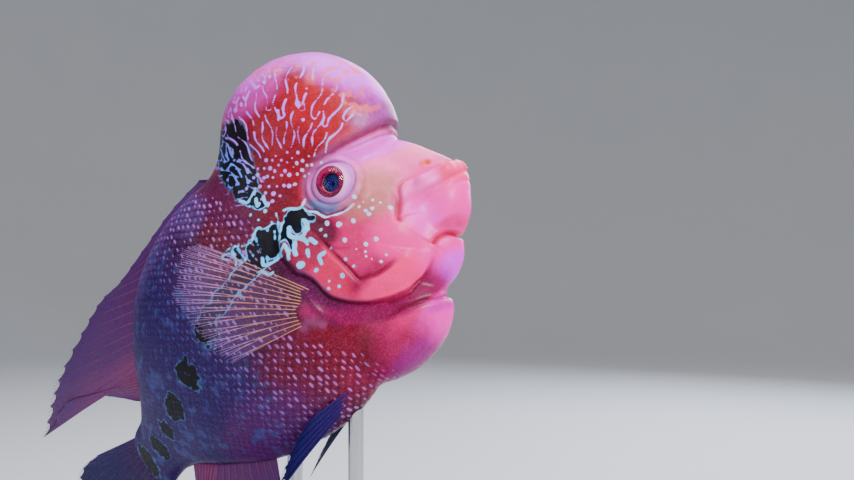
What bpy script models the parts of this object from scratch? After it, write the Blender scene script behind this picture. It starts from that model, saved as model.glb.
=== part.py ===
"""Flowerhorn cichlid: a still, life-size model on a plain display stand.

The fish is drawn straight and level in its own space, in millimetres: x runs forward from the
snout, y to the fish's left, z up. It is then bent sideways along its spine, turned into its pose
and lifted onto the stand. The origin is the middle of the underside of the stand's base.
"""

import math

import bmesh
import bpy
import numpy as np
from mathutils import Matrix, Vector

MM = 0.001
GAP = 0.35                    # slit between neighbouring solids

# Pose of the whole fish
PITCH = 41.56                 # degrees, nose up
ROLL = -13.64                 # degrees, back leaning away from the right side
YAW = -3.66                   # degrees
BEND = 37.41                  # degrees that the tail turns to the fish's left
BEND_START, BEND_END = -56.0, -176.0
SNOUT_X, SNOUT_Y, SNOUT_Z = 74.0, -2.0, 236.0    # where the fish's own zero point is held

# Stand
BASE_LENGTH, BASE_DEPTH, BASE_HEIGHT = 176.0, 132.0, 14.0
BASE_CORNER = 24.0
BASE_BEVEL = 2.5
ROD_RADIUS = 3.0
FLANGE_RADIUS, FLANGE_HEIGHT = 9.0, 3.0
ROD_SPOTS = {"stand_rod_front": -94.0, "stand_rod_rear": -125.0}    # x on the belly's midline

# Trunk: x, top, bottom, half width
STATIONS = np.array([
    (-206, 13.5, -13.5, 2.6),
    (-198, 14.8, -14.6, 4.2),
    (-186, 15.6, -15.2, 6.6),
    (-174, 22.0, -19.5, 8.8),
    (-156, 37.0, -31.0, 12.0),
    (-136, 49.0, -44.0, 15.6),
    (-114, 55.5, -52.5, 19.2),
    (-94, 57.5, -55.5, 21.8),
    (-76, 56.0, -52.0, 22.6),
    (-60, 50.0, -44.0, 21.0),
    (-44, 40.0, -37.0, 18.2),
    (-30, 29.0, -31.0, 15.0),
    (-20, 20.0, -27.0, 12.6),
    (-12, 14.5, -23.5, 10.4),
    (-6, 4.5, -19.5, 7.8),
    (-2, -4.0, -15.5, 4.8),
    (0, -8.5, -12.0, 1.6)], float)

# Lumps that swell out of the trunk: centre x and z, radii, tilt in degrees, squareness, blend
LUMPS = {
    "cheek": ((-47.5, -6.0), (27.5, 21.8, 33.0), -12, 2.6, 5.0),
    "breast": ((-60.5, -41.0), (24.6, 17.0, 17.2), 0, 2.0, 3.0),
    "chin": ((-35.0, -25.5), (17.2, 12.5, 17.0), 0, 2.0, 2.0),
    "jaw": ((-16.5, -17.5), (15.5, 11.0, 10.5), 38, 2.0, 2.0),
    "hump": ((-38.4, 42.4), (36.2, 25.5, 34.2), -45, 2.0, 3.0),
}
HUMP_BLEND_BEHIND = 11.0      # the hump runs out softly into the shoulder
UPPER_LIP = ([(-3.2, 0, -9.4), (-7, 6.5, -9.2), (-16, 10.5, -9.2), (-26, 13, -11.5)],
             [3.7, 3.8, 3.6, 2.6], 1.5)
EYE_CENTRE = (-41.6, 12.8, 12.8)
EYE_RADIUS = 10.5

# Fins: rows of (root, tip); each ray runs from its root to its tip
DORSAL = [((-78, 0, 55), (-84, 0, 60.6)), ((-88, 0, 55), (-103, 0, 60.6)),
          ((-101, 0, 54), (-123, 0, 58.2)), ((-115, 0, 51), (-145, 0, 58.8)),
          ((-129, 0, 47), (-165, 0, 64)), ((-141, 0, 42), (-190, 0, 65)),
          ((-151, 0, 36), (-221, 0, 65.2)), ((-159, 0, 30.5), (-247, 0, 63.8)),
          ((-164, 0, 27), (-267, 0, 58.4)), ((-168, 0, 24), (-237, 0, 57)),
          ((-171, 0, 21.5), (-215, 0, 47.5)), ((-174, 0, 19.5), (-198, 0, 34)),
          ((-177, 0, 17), (-184, 0, 22.5))]
ANAL = [((-133, 0, -43), (-141, 0, -54)), ((-139, 0, -40), (-153, 0, -60)),
        ((-146, 0, -36), (-169, 0, -64)), ((-153, 0, -31.5), (-190, 0, -65)),
        ((-159, 0, -27.5), (-214, 0, -62)), ((-164, 0, -24), (-243, 0, -54)),
        ((-168, 0, -21.5), (-222, 0, -48)), ((-172, 0, -19), (-204, 0, -38)),
        ((-176, 0, -16.5), (-187, 0, -24))]
CAUDAL = [((-200, 0, 12.5), (-236, 0, 26.5)), ((-202, 0, 11), (-256, 0, 31)),
          ((-203, 0, 8.5), (-266, 0, 26)), ((-204, 0, 4.5), (-271, 0, 14)),
          ((-204, 0, 0), (-273, 0, 0.5)), ((-204, 0, -4.5), (-271, 0, -13)),
          ((-203, 0, -8.5), (-266, 0, -25)), ((-202, 0, -11), (-256, 0, -30)),
          ((-200, 0, -12.5), (-236, 0, -26))]
PECTORAL = [((-73.5, 20.5, -12.2), (-89.6, 34, 26.6)), ((-74.8, 20.4, -13.4), (-93.4, 35, 27.3)),
            ((-76.0, 20.2, -14.6), (-97.7, 36, 26.1)), ((-77.3, 20.0, -15.8), (-101.7, 36, 21.6)),
            ((-78.6, 19.9, -17.0), (-105, 36, 17)), ((-80.0, 19.7, -18.2), (-106.3, 35, 10.9)),
            ((-81.4, 19.4, -19.4), (-107.8, 33, 1.9)), ((-82.8, 19.1, -20.6), (-107.9, 31, -6.6)),
            ((-84.2, 18.7, -22.0), (-106.6, 29, -15.1))]
PELVIC = [((-80, 4.5, -50.5), (-134, 9.5, -57.5)), ((-82, 5.8, -50.3), (-129, 11.5, -55)),
          ((-84, 7.0, -50.0), (-122, 13.2, -52.5)), ((-86, 8.2, -49.4), (-114, 14.6, -50)),
          ((-88, 9.4, -48.8), (-104, 15.2, -48))]
FIN_STEPS = 4                 # cells along a ray

# Slits that part the body, as lines in the side view
SHOULDER = [(-74.5, 92), (-74.5, 50), (-77.0, 12), (-76.6, 0), (-73.6, -14), (-77.5, -38), (-86, -68)]
HUMP_FOOT = [(-74.6, 46), (-60, 34), (-42, 28.2), (-22, 22), (8, 18.4)]
PEDUNCLE = [(-168, 40), (-168, -40)]
MOUTH = [(-6, -38), (-13.5, -32.4), (-18.4, -30.8), (-23.4, -27.6), (-29.2, -28.4)]
MAXILLA = [(8, -2.2), (-10.5, -5.0), (-20.9, -3.2), (-26.3, -8.6), (-31, -15.8), (-28.4, -29.2)]
GILL_RIM = [(-27.8, -28.0), (-31, -31.6), (-38, -36.2), (-50, -36.6), (-60, -31), (-74.2, -17)]
CREASE = [(-38, -36.2), (-38, -46), (-30, -60)]
GILL_COVER = [(-64, 11), (-61.0, -4), (-56, -20), (-45, -27), (-53, -32.5), (-64, -24), (-71.5, -13),
              (-74.4, -1), (-72.5, 8.5)]
GILL_COVER_INNER = 14.0       # the cover's inner face, from the midline

SKIN_CELL = 2.6               # mesh size before the body is thinned out
BODY_TRIANGLES = 3450
SMALLEST_PIECE = 400.0        # cubic mm; crumbs left by a slit are dropped


def smooth_curve(x, xs, ys):
    """Curve through the stations, with slopes taken from their neighbours"""
    slope = np.gradient(ys, xs)
    i = np.clip(np.searchsorted(xs, x) - 1, 0, len(xs) - 2)
    h = xs[i + 1] - xs[i]
    t = np.clip((x - xs[i]) / h, 0, 1)
    return ((1 + 2 * t) * (1 - t) ** 2 * ys[i] + t * (1 - t) ** 2 * h * slope[i]
            + t * t * (3 - 2 * t) * ys[i + 1] + t * t * (t - 1) * h * slope[i + 1])


def ramp(x, a, b):
    """Smooth step from 0 at a to 1 at b"""
    t = np.clip((x - a) / (b - a), 0, 1)
    return t * t * (3 - 2 * t)


def join_soft(a, b, k):
    """Union of two distance fields with a fillet about k wide"""
    h = np.maximum(k - np.abs(a - b), 0) / k
    return np.minimum(a, b) - h * h * k * 0.25


def lump_field(x, y, z, centre, radii, tilt, power):
    """Distance to a tilted ellipsoid; a power above 2 makes it squarer across"""
    a = math.radians(tilt)
    dx = x - centre[0]
    dz = z - centre[1]
    u = (dx * math.cos(a) + dz * math.sin(a)) / radii[0]
    v = (dz * math.cos(a) - dx * math.sin(a)) / radii[2]
    w = y / radii[1]
    if power == 2.0:
        size = np.sqrt(u * u + w * w + v * v)
        steep = np.sqrt((u / radii[0]) ** 2 + (w / radii[1]) ** 2 + (v / radii[2]) ** 2) + 1e-9
        return size * (size - 1) / steep
    side = np.sqrt(u * u + v * v)
    return ((side ** power + np.abs(w) ** power) ** (1 / power) - 1) * radii[1]


def trunk_field(x, y, z):
    """Distance to the trunk's oval sections"""
    xs = STATIONS[:, 0]
    top = smooth_curve(x, xs, STATIONS[:, 1])
    bottom = smooth_curve(x, xs, STATIONS[:, 2])
    half = smooth_curve(x, xs, STATIONS[:, 3])
    tall = (top - bottom) / 2
    up = z - (top + bottom) / 2
    size = np.sqrt((y / half) ** 2 + (up / tall) ** 2)
    steep = np.sqrt((y / half ** 2) ** 2 + (up / tall ** 2) ** 2) + 1e-9
    d = size * (size - 1) / steep
    past_end = np.maximum(x - 0.5, -204 - x)
    return np.where(past_end > 0, np.sqrt(np.maximum(d, 0) ** 2 + past_end ** 2), d)


def lip_field(x, y, z):
    """Distance to the upper lip, a tapered roll"""
    points, radii, _ = UPPER_LIP
    p = np.stack([x, y, z], -1)
    nearest = None
    for a, b, ra, rb in zip(points[:-1], points[1:], radii[:-1], radii[1:]):
        a = np.array(a, float)
        run = np.array(b, float) - a
        t = np.clip(((p - a) @ run) / (run @ run), 0, 1)
        d = np.linalg.norm(p - a - t[..., None] * run, axis=-1) - (ra + (rb - ra) * t)
        nearest = d if nearest is None else join_soft(nearest, d, 2.0)
    return nearest


def body_field(points):
    """Distance from the fish's outer surface, negative inside; the same on both sides"""
    x, y, z = points[:, 0], np.abs(points[:, 1]), points[:, 2]
    d = trunk_field(x, y, z)
    for name in ("cheek", "breast", "chin", "jaw"):
        centre, radii, tilt, power, blend = LUMPS[name]
        d = join_soft(d, lump_field(x, y, z, centre, radii, tilt, power), blend)
    d = join_soft(d, lip_field(x, y, z), UPPER_LIP[2])
    centre, radii, tilt, power, blend = LUMPS["hump"]
    blend = blend + HUMP_BLEND_BEHIND * ramp(-x, 35, 72)
    return join_soft(d, lump_field(x, y, z, centre, radii, tilt, power), blend)


def snap(mesh, steps=3):
    """Moves a mesh's vertices onto the body's surface"""
    points = np.empty(len(mesh.vertices) * 3)
    mesh.vertices.foreach_get("co", points)
    points = points.reshape(-1, 3)
    for _ in range(steps):
        value = body_field(points)
        slope = np.stack([body_field(points + 0.05 * axis) - body_field(points - 0.05 * axis)
                          for axis in np.eye(3)], -1) / 0.1
        steep = np.maximum((slope ** 2).sum(1), 0.25)
        move = -(value / steep)[:, None] * slope
        points += np.clip(move, -1.5, 1.5)
    mesh.vertices.foreach_set("co", points.ravel())


def spine(x):
    """Place and heading of the bent spine at each x, walked back from the snout in 1 mm steps"""
    steps = np.arange(0, 301)
    t = np.clip((BEND_START - -steps) / (BEND_START - BEND_END), 0, 1)
    heading = math.radians(BEND) * t * t * (3 - 2 * t)
    middle = (heading[1:] + heading[:-1]) / 2
    along = np.concatenate([[0], -np.cumsum(np.cos(middle))])
    aside = np.concatenate([[0], np.cumsum(np.sin(middle))])
    back = np.clip(-x, 0, 300)
    return [np.interp(back, steps, row) for row in (along, aside, heading)]


def bent(points):
    """Bends points of the straight fish sideways with the spine"""
    x, y, z = points.T
    along, aside, heading = spine(x)
    return np.stack([along + np.maximum(x, 0) + y * np.sin(heading),
                     aside + y * np.cos(heading), z], -1)


def collection(name):
    made = bpy.data.collections.new(name)
    bpy.context.scene.collection.children.link(made)
    return made


def material(name, colour, roughness, metallic=0.0):
    made = bpy.data.materials.new(name)
    made.use_nodes = True
    shader = made.node_tree.nodes["Principled BSDF"]
    shader.inputs["Base Color"].default_value = (*colour, 1.0)
    shader.inputs["Roughness"].default_value = roughness
    shader.inputs["Metallic"].default_value = metallic
    return made


def new_object(name, mesh, home):
    made = bpy.data.objects.new(name, mesh)
    home.objects.link(made)
    return made


def settle(obj):
    """Replaces an object's mesh by its evaluated mesh and drops its modifiers"""
    depsgraph = bpy.context.evaluated_depsgraph_get()
    depsgraph.update()
    mesh = bpy.data.meshes.new_from_object(obj.evaluated_get(depsgraph))
    obj.modifiers.clear()
    obj.data = mesh


def boolean(obj, cutter, operation):
    cut = obj.modifiers.new(operation.lower(), "BOOLEAN")
    cut.object = cutter
    cut.operation = operation
    cut.solver = "EXACT"
    settle(obj)


def ball(bm, centre, radii, tilt, segments=40, rings=24):
    """Ellipsoid in the side view's plane, turned by tilt degrees about y"""
    size = Matrix.Diagonal((*radii, 1.0))
    turn = Matrix.Rotation(math.radians(-tilt), 4, "Y")
    place = Matrix.Translation(Vector(centre))
    bmesh.ops.create_uvsphere(bm, u_segments=segments, v_segments=rings, radius=1.0,
                              matrix=place @ turn @ size)


def trunk_loft(bm, sides=40):
    """Closed loft through the trunk's oval sections"""
    rings = []
    for x, top, bottom, half in STATIONS:
        ring = []
        for i in range(sides):
            a = 2 * math.pi * i / sides
            ring.append(bm.verts.new((x, half * math.cos(a),
                                      (top + bottom) / 2 + (top - bottom) / 2 * math.sin(a))))
        rings.append(ring)
    for a, b in zip(rings[:-1], rings[1:]):
        for i in range(sides):
            j = (i + 1) % sides
            bm.faces.new((a[i], a[j], b[j], b[i]))
    bm.faces.new(rings[0][::-1])
    bm.faces.new(rings[-1])
    bmesh.ops.recalc_face_normals(bm, faces=bm.faces)


def make_body(home):
    """The whole outer form: loft and lumps fused, drawn onto the blended surface, thinned out"""
    bm = bmesh.new()
    trunk_loft(bm)
    for centre, radii, tilt, _, _ in LUMPS.values():
        ball(bm, (centre[0], 0, centre[1]), radii, tilt)
    for side in (-1, 1):
        for (x, y, z), radius in zip(*UPPER_LIP[:2]):
            ball(bm, (x, side * y, z), (radius + 1.2,) * 3, 0, 16, 10)
    mesh = bpy.data.meshes.new("body")
    bm.to_mesh(mesh)
    bm.free()
    body = new_object("body", mesh, home)
    fuse = body.modifiers.new("fuse", "REMESH")
    fuse.mode = "VOXEL"
    fuse.voxel_size = SKIN_CELL
    settle(body)
    snap(body.data, steps=5)
    thin = body.modifiers.new("thin", "DECIMATE")
    body.data.calc_loop_triangles()
    thin.ratio = BODY_TRIANGLES / len(body.data.loop_triangles)
    settle(body)
    snap(body.data, steps=2)
    return body


def rounded_outline(points, cuts=3):
    """Closed smooth curve through the points, cuts spans between neighbours"""
    corners = [Vector(p) for p in points]
    count = len(corners)
    line = []
    for i in range(count):
        before, a, b, after = (corners[(i + k) % count] for k in (-1, 0, 1, 2))
        for step in range(cuts):
            t = step / cuts
            line.append(0.5 * (2 * a + (b - before) * t + (2 * before - 5 * a + 4 * b - after) * t * t
                               + (3 * a - before - 3 * b + after) * t ** 3))
    return line


def copy_object(obj, name, home):
    return new_object(name, obj.data.copy(), home)


def curtain(name, line, home, half_width=70.0):
    """Thin upright sheet along a line of the side view, the cutter that leaves a slit"""
    bm = bmesh.new()
    near = [bm.verts.new((x, -half_width, z)) for x, z in line]
    far = [bm.verts.new((x, half_width, z)) for x, z in line]
    for i in range(len(line) - 1):
        bm.faces.new((near[i], near[i + 1], far[i + 1], far[i]))
    mesh = bpy.data.meshes.new(name)
    bm.to_mesh(mesh)
    bm.free()
    sheet = new_object(name, mesh, home)
    thick = sheet.modifiers.new("thick", "SOLIDIFY")
    thick.thickness = GAP
    thick.offset = 0.0
    thick.use_even_offset = True
    settle(sheet)
    return sheet


def prism(name, outline, y0, y1, grow, home):
    """Block with the given side-view outline between two depths, each side moved out by grow"""
    corners = [Vector(p) for p in outline]
    area = sum(a.x * b.y - b.x * a.y for a, b in zip(corners, corners[1:] + corners[:1]))
    turn = 1 if area > 0 else -1
    moved = []
    for before, here, after in zip(corners[-1:] + corners[:-1], corners, corners[1:] + corners[:1]):
        first = (here - before).normalized()
        second = (after - here).normalized()
        out = (Vector((first.y, -first.x)) + Vector((second.y, -second.x))) * turn
        moved.append(here + out * (2 * grow / out.length_squared))
    bm = bmesh.new()
    face = bm.faces.new([bm.verts.new((p.x, y0 - grow, p.y)) for p in moved])
    made = bmesh.ops.extrude_face_region(bm, geom=[face])
    bmesh.ops.translate(bm, vec=(0, y1 - y0 + 2 * grow, 0),
                        verts=[v for v in made["geom"] if isinstance(v, bmesh.types.BMVert)])
    bmesh.ops.recalc_face_normals(bm, faces=bm.faces)
    mesh = bpy.data.meshes.new(name)
    bm.to_mesh(mesh)
    bm.free()
    return new_object(name, mesh, home)


def eyeball(name, side, radius, home):
    bm = bmesh.new()
    x, y, z = EYE_CENTRE
    ball(bm, (x, side * y, z), (radius,) * 3, 0, 18, 10)
    mesh = bpy.data.meshes.new(name)
    bm.to_mesh(mesh)
    bm.free()
    return new_object(name, mesh, home)


def loose_parts(obj, home):
    """Splits an object into its separate bodies and gives them with their volumes and middles"""
    bm = bmesh.new()
    bm.from_mesh(obj.data)
    left = set(bm.verts)
    groups = []
    while left:
        group = set()
        edge = [left.pop()]
        while edge:
            vertex = edge.pop()
            group.add(vertex)
            for link in vertex.link_edges:
                other = link.other_vert(vertex)
                if other in left:
                    left.remove(other)
                    edge.append(other)
        groups.append([v.index for v in group])
    bm.free()
    parts = []
    for number, group in enumerate(groups):
        piece = bmesh.new()
        piece.from_mesh(obj.data)
        piece.verts.ensure_lookup_table()
        keep = set(group)
        bmesh.ops.delete(piece, geom=[v for v in piece.verts if v.index not in keep], context="VERTS")
        volume = piece.calc_volume()
        middle = sum((v.co for v in piece.verts), Vector()) / len(piece.verts)
        mesh = bpy.data.meshes.new(f"{obj.name}_{number}")
        piece.to_mesh(mesh)
        piece.free()
        parts.append((volume, middle, new_object(mesh.name, mesh, home)))
    return parts


def fin_sheet(name, rays, side, thickness, sag, home):
    """Thin fin: a net from ray to ray, rippled by sag, given its thickness"""
    bm = bmesh.new()
    net = []
    for number, (root, tip) in enumerate(rays):
        row = []
        for step in range(FIN_STEPS + 1):
            v = step / FIN_STEPS
            x, y, z = (a + (b - a) * v for a, b in zip(root, tip))
            y += sag * v * math.sin(1.9 * number)
            row.append(bm.verts.new((x, side * y, z)))
        net.append(row)
    for a, b in zip(net[:-1], net[1:]):
        for i in range(FIN_STEPS):
            bm.faces.new((a[i], a[i + 1], b[i + 1], b[i]))
    mesh = bpy.data.meshes.new(name)
    bm.to_mesh(mesh)
    bm.free()
    fin = new_object(name, mesh, home)
    thick = fin.modifiers.new("thick", "SOLIDIFY")
    thick.thickness = thickness
    thick.offset = 0.0
    thick.use_even_offset = True
    settle(fin)
    return fin


def grown(obj, name, home):
    """Copy of the whole body, larger by the gap, that trims what meets the skin"""
    big = copy_object(obj, name, home)
    swell = big.modifiers.new("swell", "DISPLACE")
    swell.strength = GAP
    swell.mid_level = 0.0
    settle(big)
    return big


def to_pose_space(obj):
    """Bends a finished piece with the spine and changes its millimetres to metres"""
    bm = bmesh.new()
    bm.from_mesh(obj.data)
    bmesh.ops.triangulate(bm, faces=bm.faces)
    bm.to_mesh(obj.data)
    bm.free()
    points = np.empty(len(obj.data.vertices) * 3)
    obj.data.vertices.foreach_get("co", points)
    points = bent(points.reshape(-1, 3)) * MM
    obj.data.vertices.foreach_set("co", points.ravel())
    obj.data.update()


def pose_matrix():
    turn = (Matrix.Rotation(math.radians(YAW), 4, "Z")
            @ Matrix.Rotation(math.radians(-PITCH), 4, "Y")
            @ Matrix.Rotation(math.radians(ROLL), 4, "X"))
    return Matrix.Translation(Vector((SNOUT_X, SNOUT_Y, SNOUT_Z)) * MM) @ turn


def cut_body(body, home, cutters):
    """Parts the body with thin slits and gives the pieces their names"""
    cover_edge = rounded_outline(GILL_COVER)
    for side, hand in ((-1, "right"), (1, "left")):
        near, far = (GILL_COVER_INNER, 60.0) if side > 0 else (-60.0, -GILL_COVER_INNER)
        cover = copy_object(body, f"gill_cover_{hand}", home)
        boolean(cover, prism(f"cover_block_{hand}", cover_edge, near, far, 0.0, cutters), "INTERSECT")
        boolean(body, prism(f"cover_room_{hand}", cover_edge, near, far, GAP, cutters), "DIFFERENCE")
        boolean(body, eyeball(f"socket_{hand}", side, EYE_RADIUS + GAP, cutters), "DIFFERENCE")
    for name, line in (("slit_shoulder", SHOULDER), ("slit_hump", HUMP_FOOT), ("slit_tail", PEDUNCLE),
                       ("slit_mouth", MOUTH), ("slit_maxilla", MAXILLA), ("slit_gill_rim", GILL_RIM),
                       ("slit_crease", CREASE)):
        boolean(body, curtain(name, line, cutters), "DIFFERENCE")
    places = {"nuchal_hump": (-38, 45), "head": (-42, 2), "upper_jaw": (-14, -14),
              "lower_jaw": (-30, -38), "breast": (-62, -44),
              "trunk": (-115, 0), "tail": (-188, 0)}
    parts = loose_parts(body, home)
    named = {}
    for name, (x, z) in places.items():
        best = min((part for part in parts if part[0] > SMALLEST_PIECE),
                   key=lambda part: (part[1] - Vector((x, 0, z))).length)
        best[2].name = name
        named[name] = best[2]
    for _, _, piece in parts:
        if piece not in named.values():
            bpy.data.objects.remove(piece)
    bpy.data.objects.remove(body)
    return named


def rounded_block(name, home):
    """The stand's base: a plate with round corners and softened edges"""
    bm = bmesh.new()
    bmesh.ops.create_cube(bm, size=1.0)
    bmesh.ops.scale(bm, vec=Vector((BASE_LENGTH, BASE_DEPTH, BASE_HEIGHT)) * MM, verts=bm.verts)
    bmesh.ops.translate(bm, vec=(0, 0, BASE_HEIGHT / 2 * MM), verts=bm.verts)
    upright = [e for e in bm.edges if abs(e.verts[0].co.z - e.verts[1].co.z) > BASE_HEIGHT / 2 * MM]
    bmesh.ops.bevel(bm, geom=upright, offset=BASE_CORNER * MM, segments=6, profile=0.5,
                    affect="EDGES")
    mesh = bpy.data.meshes.new(name)
    bm.to_mesh(mesh)
    bm.free()
    base = new_object(name, mesh, home)
    soft = base.modifiers.new("soft edge", "BEVEL")
    soft.width = BASE_BEVEL * MM
    soft.segments = 2
    soft.angle_limit = math.radians(50)
    return base


def rod(name, home, x, body_cutter):
    """Turned rod with a flange on the base, cut off where it meets the belly"""
    bottom = float(smooth_curve(np.array([x]), STATIONS[:, 0], STATIONS[:, 2])[0])
    touch = pose_matrix() @ Vector(bent(np.array([[x, 0, bottom]]))[0] * MM)
    foot = (BASE_HEIGHT + GAP) * MM
    top = touch.z + 0.012
    r = ROD_RADIUS * MM
    flange = FLANGE_RADIUS * MM
    high = FLANGE_HEIGHT * MM
    profile = [(0, top), (r, top), (r, foot + high + 0.0015), (r + 0.0015, foot + high),
               (flange - 0.001, foot + high), (flange, foot + high - 0.001), (flange, foot), (0, foot)]
    bm = bmesh.new()
    ring = [bm.verts.new((px, 0, pz)) for px, pz in profile]
    for a, b in zip(ring[:-1], ring[1:]):
        bm.edges.new((a, b))
    mesh = bpy.data.meshes.new(name)
    bm.to_mesh(mesh)
    bm.free()
    made = new_object(name, mesh, home)
    turned = made.modifiers.new("turned", "SCREW")
    turned.steps = turned.render_steps = 16
    turned.use_merge_vertices = True
    turned.merge_threshold = 0.00001
    settle(made)
    made.location = (touch.x, touch.y, 0)
    bpy.context.view_layer.update()
    boolean(made, body_cutter, "DIFFERENCE")
    return made


def build():
    for old in list(bpy.data.objects):
        bpy.data.objects.remove(old)
    fish = collection("flowerhorn_cichlid")
    cutters = collection("cutters")
    looks = {
        "red_skin": material("red_skin", (0.52, 0.11, 0.10), 0.4),
        "hump_skin": material("hump_skin", (0.62, 0.20, 0.16), 0.35),
        "face_skin": material("face_skin", (0.72, 0.38, 0.30), 0.38),
        "pink_skin": material("pink_skin", (0.62, 0.16, 0.27), 0.38),
        "flank_skin": material("flank_skin", (0.20, 0.10, 0.20), 0.42),
        "eye": material("eye", (0.30, 0.03, 0.06), 0.08),
        "fin": material("fin", (0.40, 0.18, 0.34), 0.35),
        "dark_fin": material("dark_fin", (0.10, 0.05, 0.14), 0.4),
        "walnut": material("walnut", (0.12, 0.06, 0.035), 0.45),
        "steel": material("steel", (0.6, 0.6, 0.61), 0.28, 1.0),
    }

    body = make_body(fish)
    skin_cutter = grown(body, "skin_cutter", cutters)
    pieces = {}
    for side, hand in ((-1, "right"), (1, "left")):
        pieces[f"eye_{hand}"] = eyeball(f"eye_{hand}", side, EYE_RADIUS, fish)
        for name, rays, sag in (("pectoral_fin", PECTORAL, 0.5), ("pelvic_fin", PELVIC, 0.3)):
            node = f"{name}_{hand}"
            pieces[node] = fin_sheet(node, rays, side, 0.9, sag, fish)
            boolean(pieces[node], skin_cutter, "DIFFERENCE")
    for node, rays, sag in (("dorsal_fin", DORSAL, 0.9), ("anal_fin", ANAL, 0.9),
                            ("caudal_fin", CAUDAL, 1.0)):
        pieces[node] = fin_sheet(node, rays, 1, 1.1, sag, fish)
        boolean(pieces[node], skin_cutter, "DIFFERENCE")
    pieces.update(cut_body(body, fish, cutters))
    for hand in ("left", "right"):
        pieces[f"gill_cover_{hand}"] = bpy.data.objects[f"gill_cover_{hand}"]

    pose = bpy.data.objects.new("fish_pose", None)
    fish.objects.link(pose)
    pose.matrix_world = pose_matrix()
    finish = {"head": "face_skin", "nuchal_hump": "hump_skin", "upper_jaw": "face_skin",
              "lower_jaw": "pink_skin", "breast": "red_skin",
              "gill_cover_left": "red_skin", "gill_cover_right": "red_skin", "trunk": "red_skin",
              "tail": "flank_skin", "eye_left": "eye", "eye_right": "eye",
              "caudal_fin": "dark_fin", "pelvic_fin_left": "dark_fin",
              "pelvic_fin_right": "dark_fin"}
    for node, piece in pieces.items():
        to_pose_space(piece)
        piece.data.materials.clear()
        piece.data.materials.append(looks[finish.get(node, "fin")])
        piece.parent = pose
        if node.startswith("eye"):
            piece.data.shade_smooth()

    to_pose_space(skin_cutter)
    skin_cutter.parent = pose
    base = rounded_block("stand_base", fish)
    base.data.materials.append(looks["walnut"])
    bpy.context.view_layer.update()
    for name, x in ROD_SPOTS.items():
        support = rod(name, fish, x, skin_cutter)
        support.data.materials.clear()
        support.data.materials.append(looks["steel"])
        support.data.shade_smooth()
        support.data.set_sharp_from_angle(angle=math.radians(35))
    for cutter in cutters.objects:
        cutter.hide_render = True
        cutter.display_type = "WIRE"


build()
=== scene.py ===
"""Flowerhorn cichlid: the looks of the life-size model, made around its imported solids.

The fish is drawn straight and level in its own space, in millimetres: x runs forward from the
snout, y to the fish's left, z up. Every piece is made there, then bent along the spine, turned
into the pose and changed to metres.
"""

import itertools
import math

import bpy
import numpy as np
from mathutils import Matrix, Vector


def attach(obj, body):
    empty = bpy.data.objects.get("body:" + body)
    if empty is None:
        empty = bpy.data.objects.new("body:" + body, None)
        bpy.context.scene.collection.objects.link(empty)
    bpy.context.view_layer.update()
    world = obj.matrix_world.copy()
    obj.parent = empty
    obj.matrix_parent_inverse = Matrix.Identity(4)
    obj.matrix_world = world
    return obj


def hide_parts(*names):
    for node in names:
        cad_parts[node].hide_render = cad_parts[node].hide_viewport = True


MM = 0.001

# Pose, as the solids have it, in degrees
PITCH, ROLL, YAW = 41.56, -13.64, -3.66
BEND = 37.41
BEND_START, BEND_END = -56.0, -176.0
SNOUT = np.array([74.0, -2.0, 236.0])

# Camera, at the photograph's viewpoint
CAMERA_PLACE = Vector((66.3, -461.8, 199.9)) * MM
LENS, SENSOR = 49.85, 36.0

# Trunk: x, top, bottom, half width
STATIONS = np.array([
    (-206, 13.5, -13.5, 2.6), (-198, 14.8, -14.6, 4.2), (-186, 15.6, -15.2, 6.6),
    (-174, 22.0, -19.5, 8.8), (-156, 37.0, -31.0, 12.0), (-136, 49.0, -44.0, 15.6),
    (-114, 55.5, -52.5, 19.2), (-94, 57.5, -55.5, 21.8), (-76, 56.0, -52.0, 22.6),
    (-60, 50.0, -44.0, 21.0), (-44, 40.0, -37.0, 18.2), (-30, 29.0, -31.0, 15.0),
    (-20, 20.0, -27.0, 12.6), (-12, 14.5, -23.5, 10.4), (-6, 4.5, -19.5, 7.8),
    (-2, -4.0, -15.5, 4.8), (0, -8.5, -12.0, 1.6)], float)

# Lumps that swell out of the trunk: centre x and z, radii, tilt in degrees, squareness, blend
LUMPS = {
    "cheek": ((-47.5, -6.0), (27.5, 21.8, 33.0), -12, 2.6, 5.0),
    "breast": ((-60.5, -41.0), (24.6, 17.0, 17.2), 0, 2.0, 3.0),
    "chin": ((-35.0, -25.5), (17.2, 12.5, 17.0), 0, 2.0, 2.0),
    "jaw": ((-16.5, -17.5), (15.5, 11.0, 10.5), 38, 2.0, 2.0),
    "hump": ((-38.4, 42.4), (36.2, 25.5, 34.2), -45, 2.0, 3.0),
}
HUMP_BLEND_BEHIND = 11.0
UPPER_LIP = ([(-3.2, 0, -9.4), (-7, 6.5, -9.2), (-16, 10.5, -9.2), (-26, 13, -11.5)],
             [3.7, 3.8, 3.6, 2.6], 1.5)
FIN_FOOT = ((-79.0, 17.8, -18.5), (2.9, 2.8, 5.4), 3.5)     # fleshy lobe that carries the pectoral
SKIN_DEPTH_HEAD, SKIN_DEPTH_TRUNK = 0.15, 0.5               # how far the skin lies inside the solids

# Skin mesh
CELL = 0.5
CELL_TAIL = 1.5
TAIL_BEGINS = -84.0

# Eye, seen from the side: the ring of the socket, and the iris as an oval set back in it
EYE_RING = (-41.6, 12.8)
EYE_DEPTH = 12.8
EYE_RADIUS = 10.5
EYE_OPENING = 8.7
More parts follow.
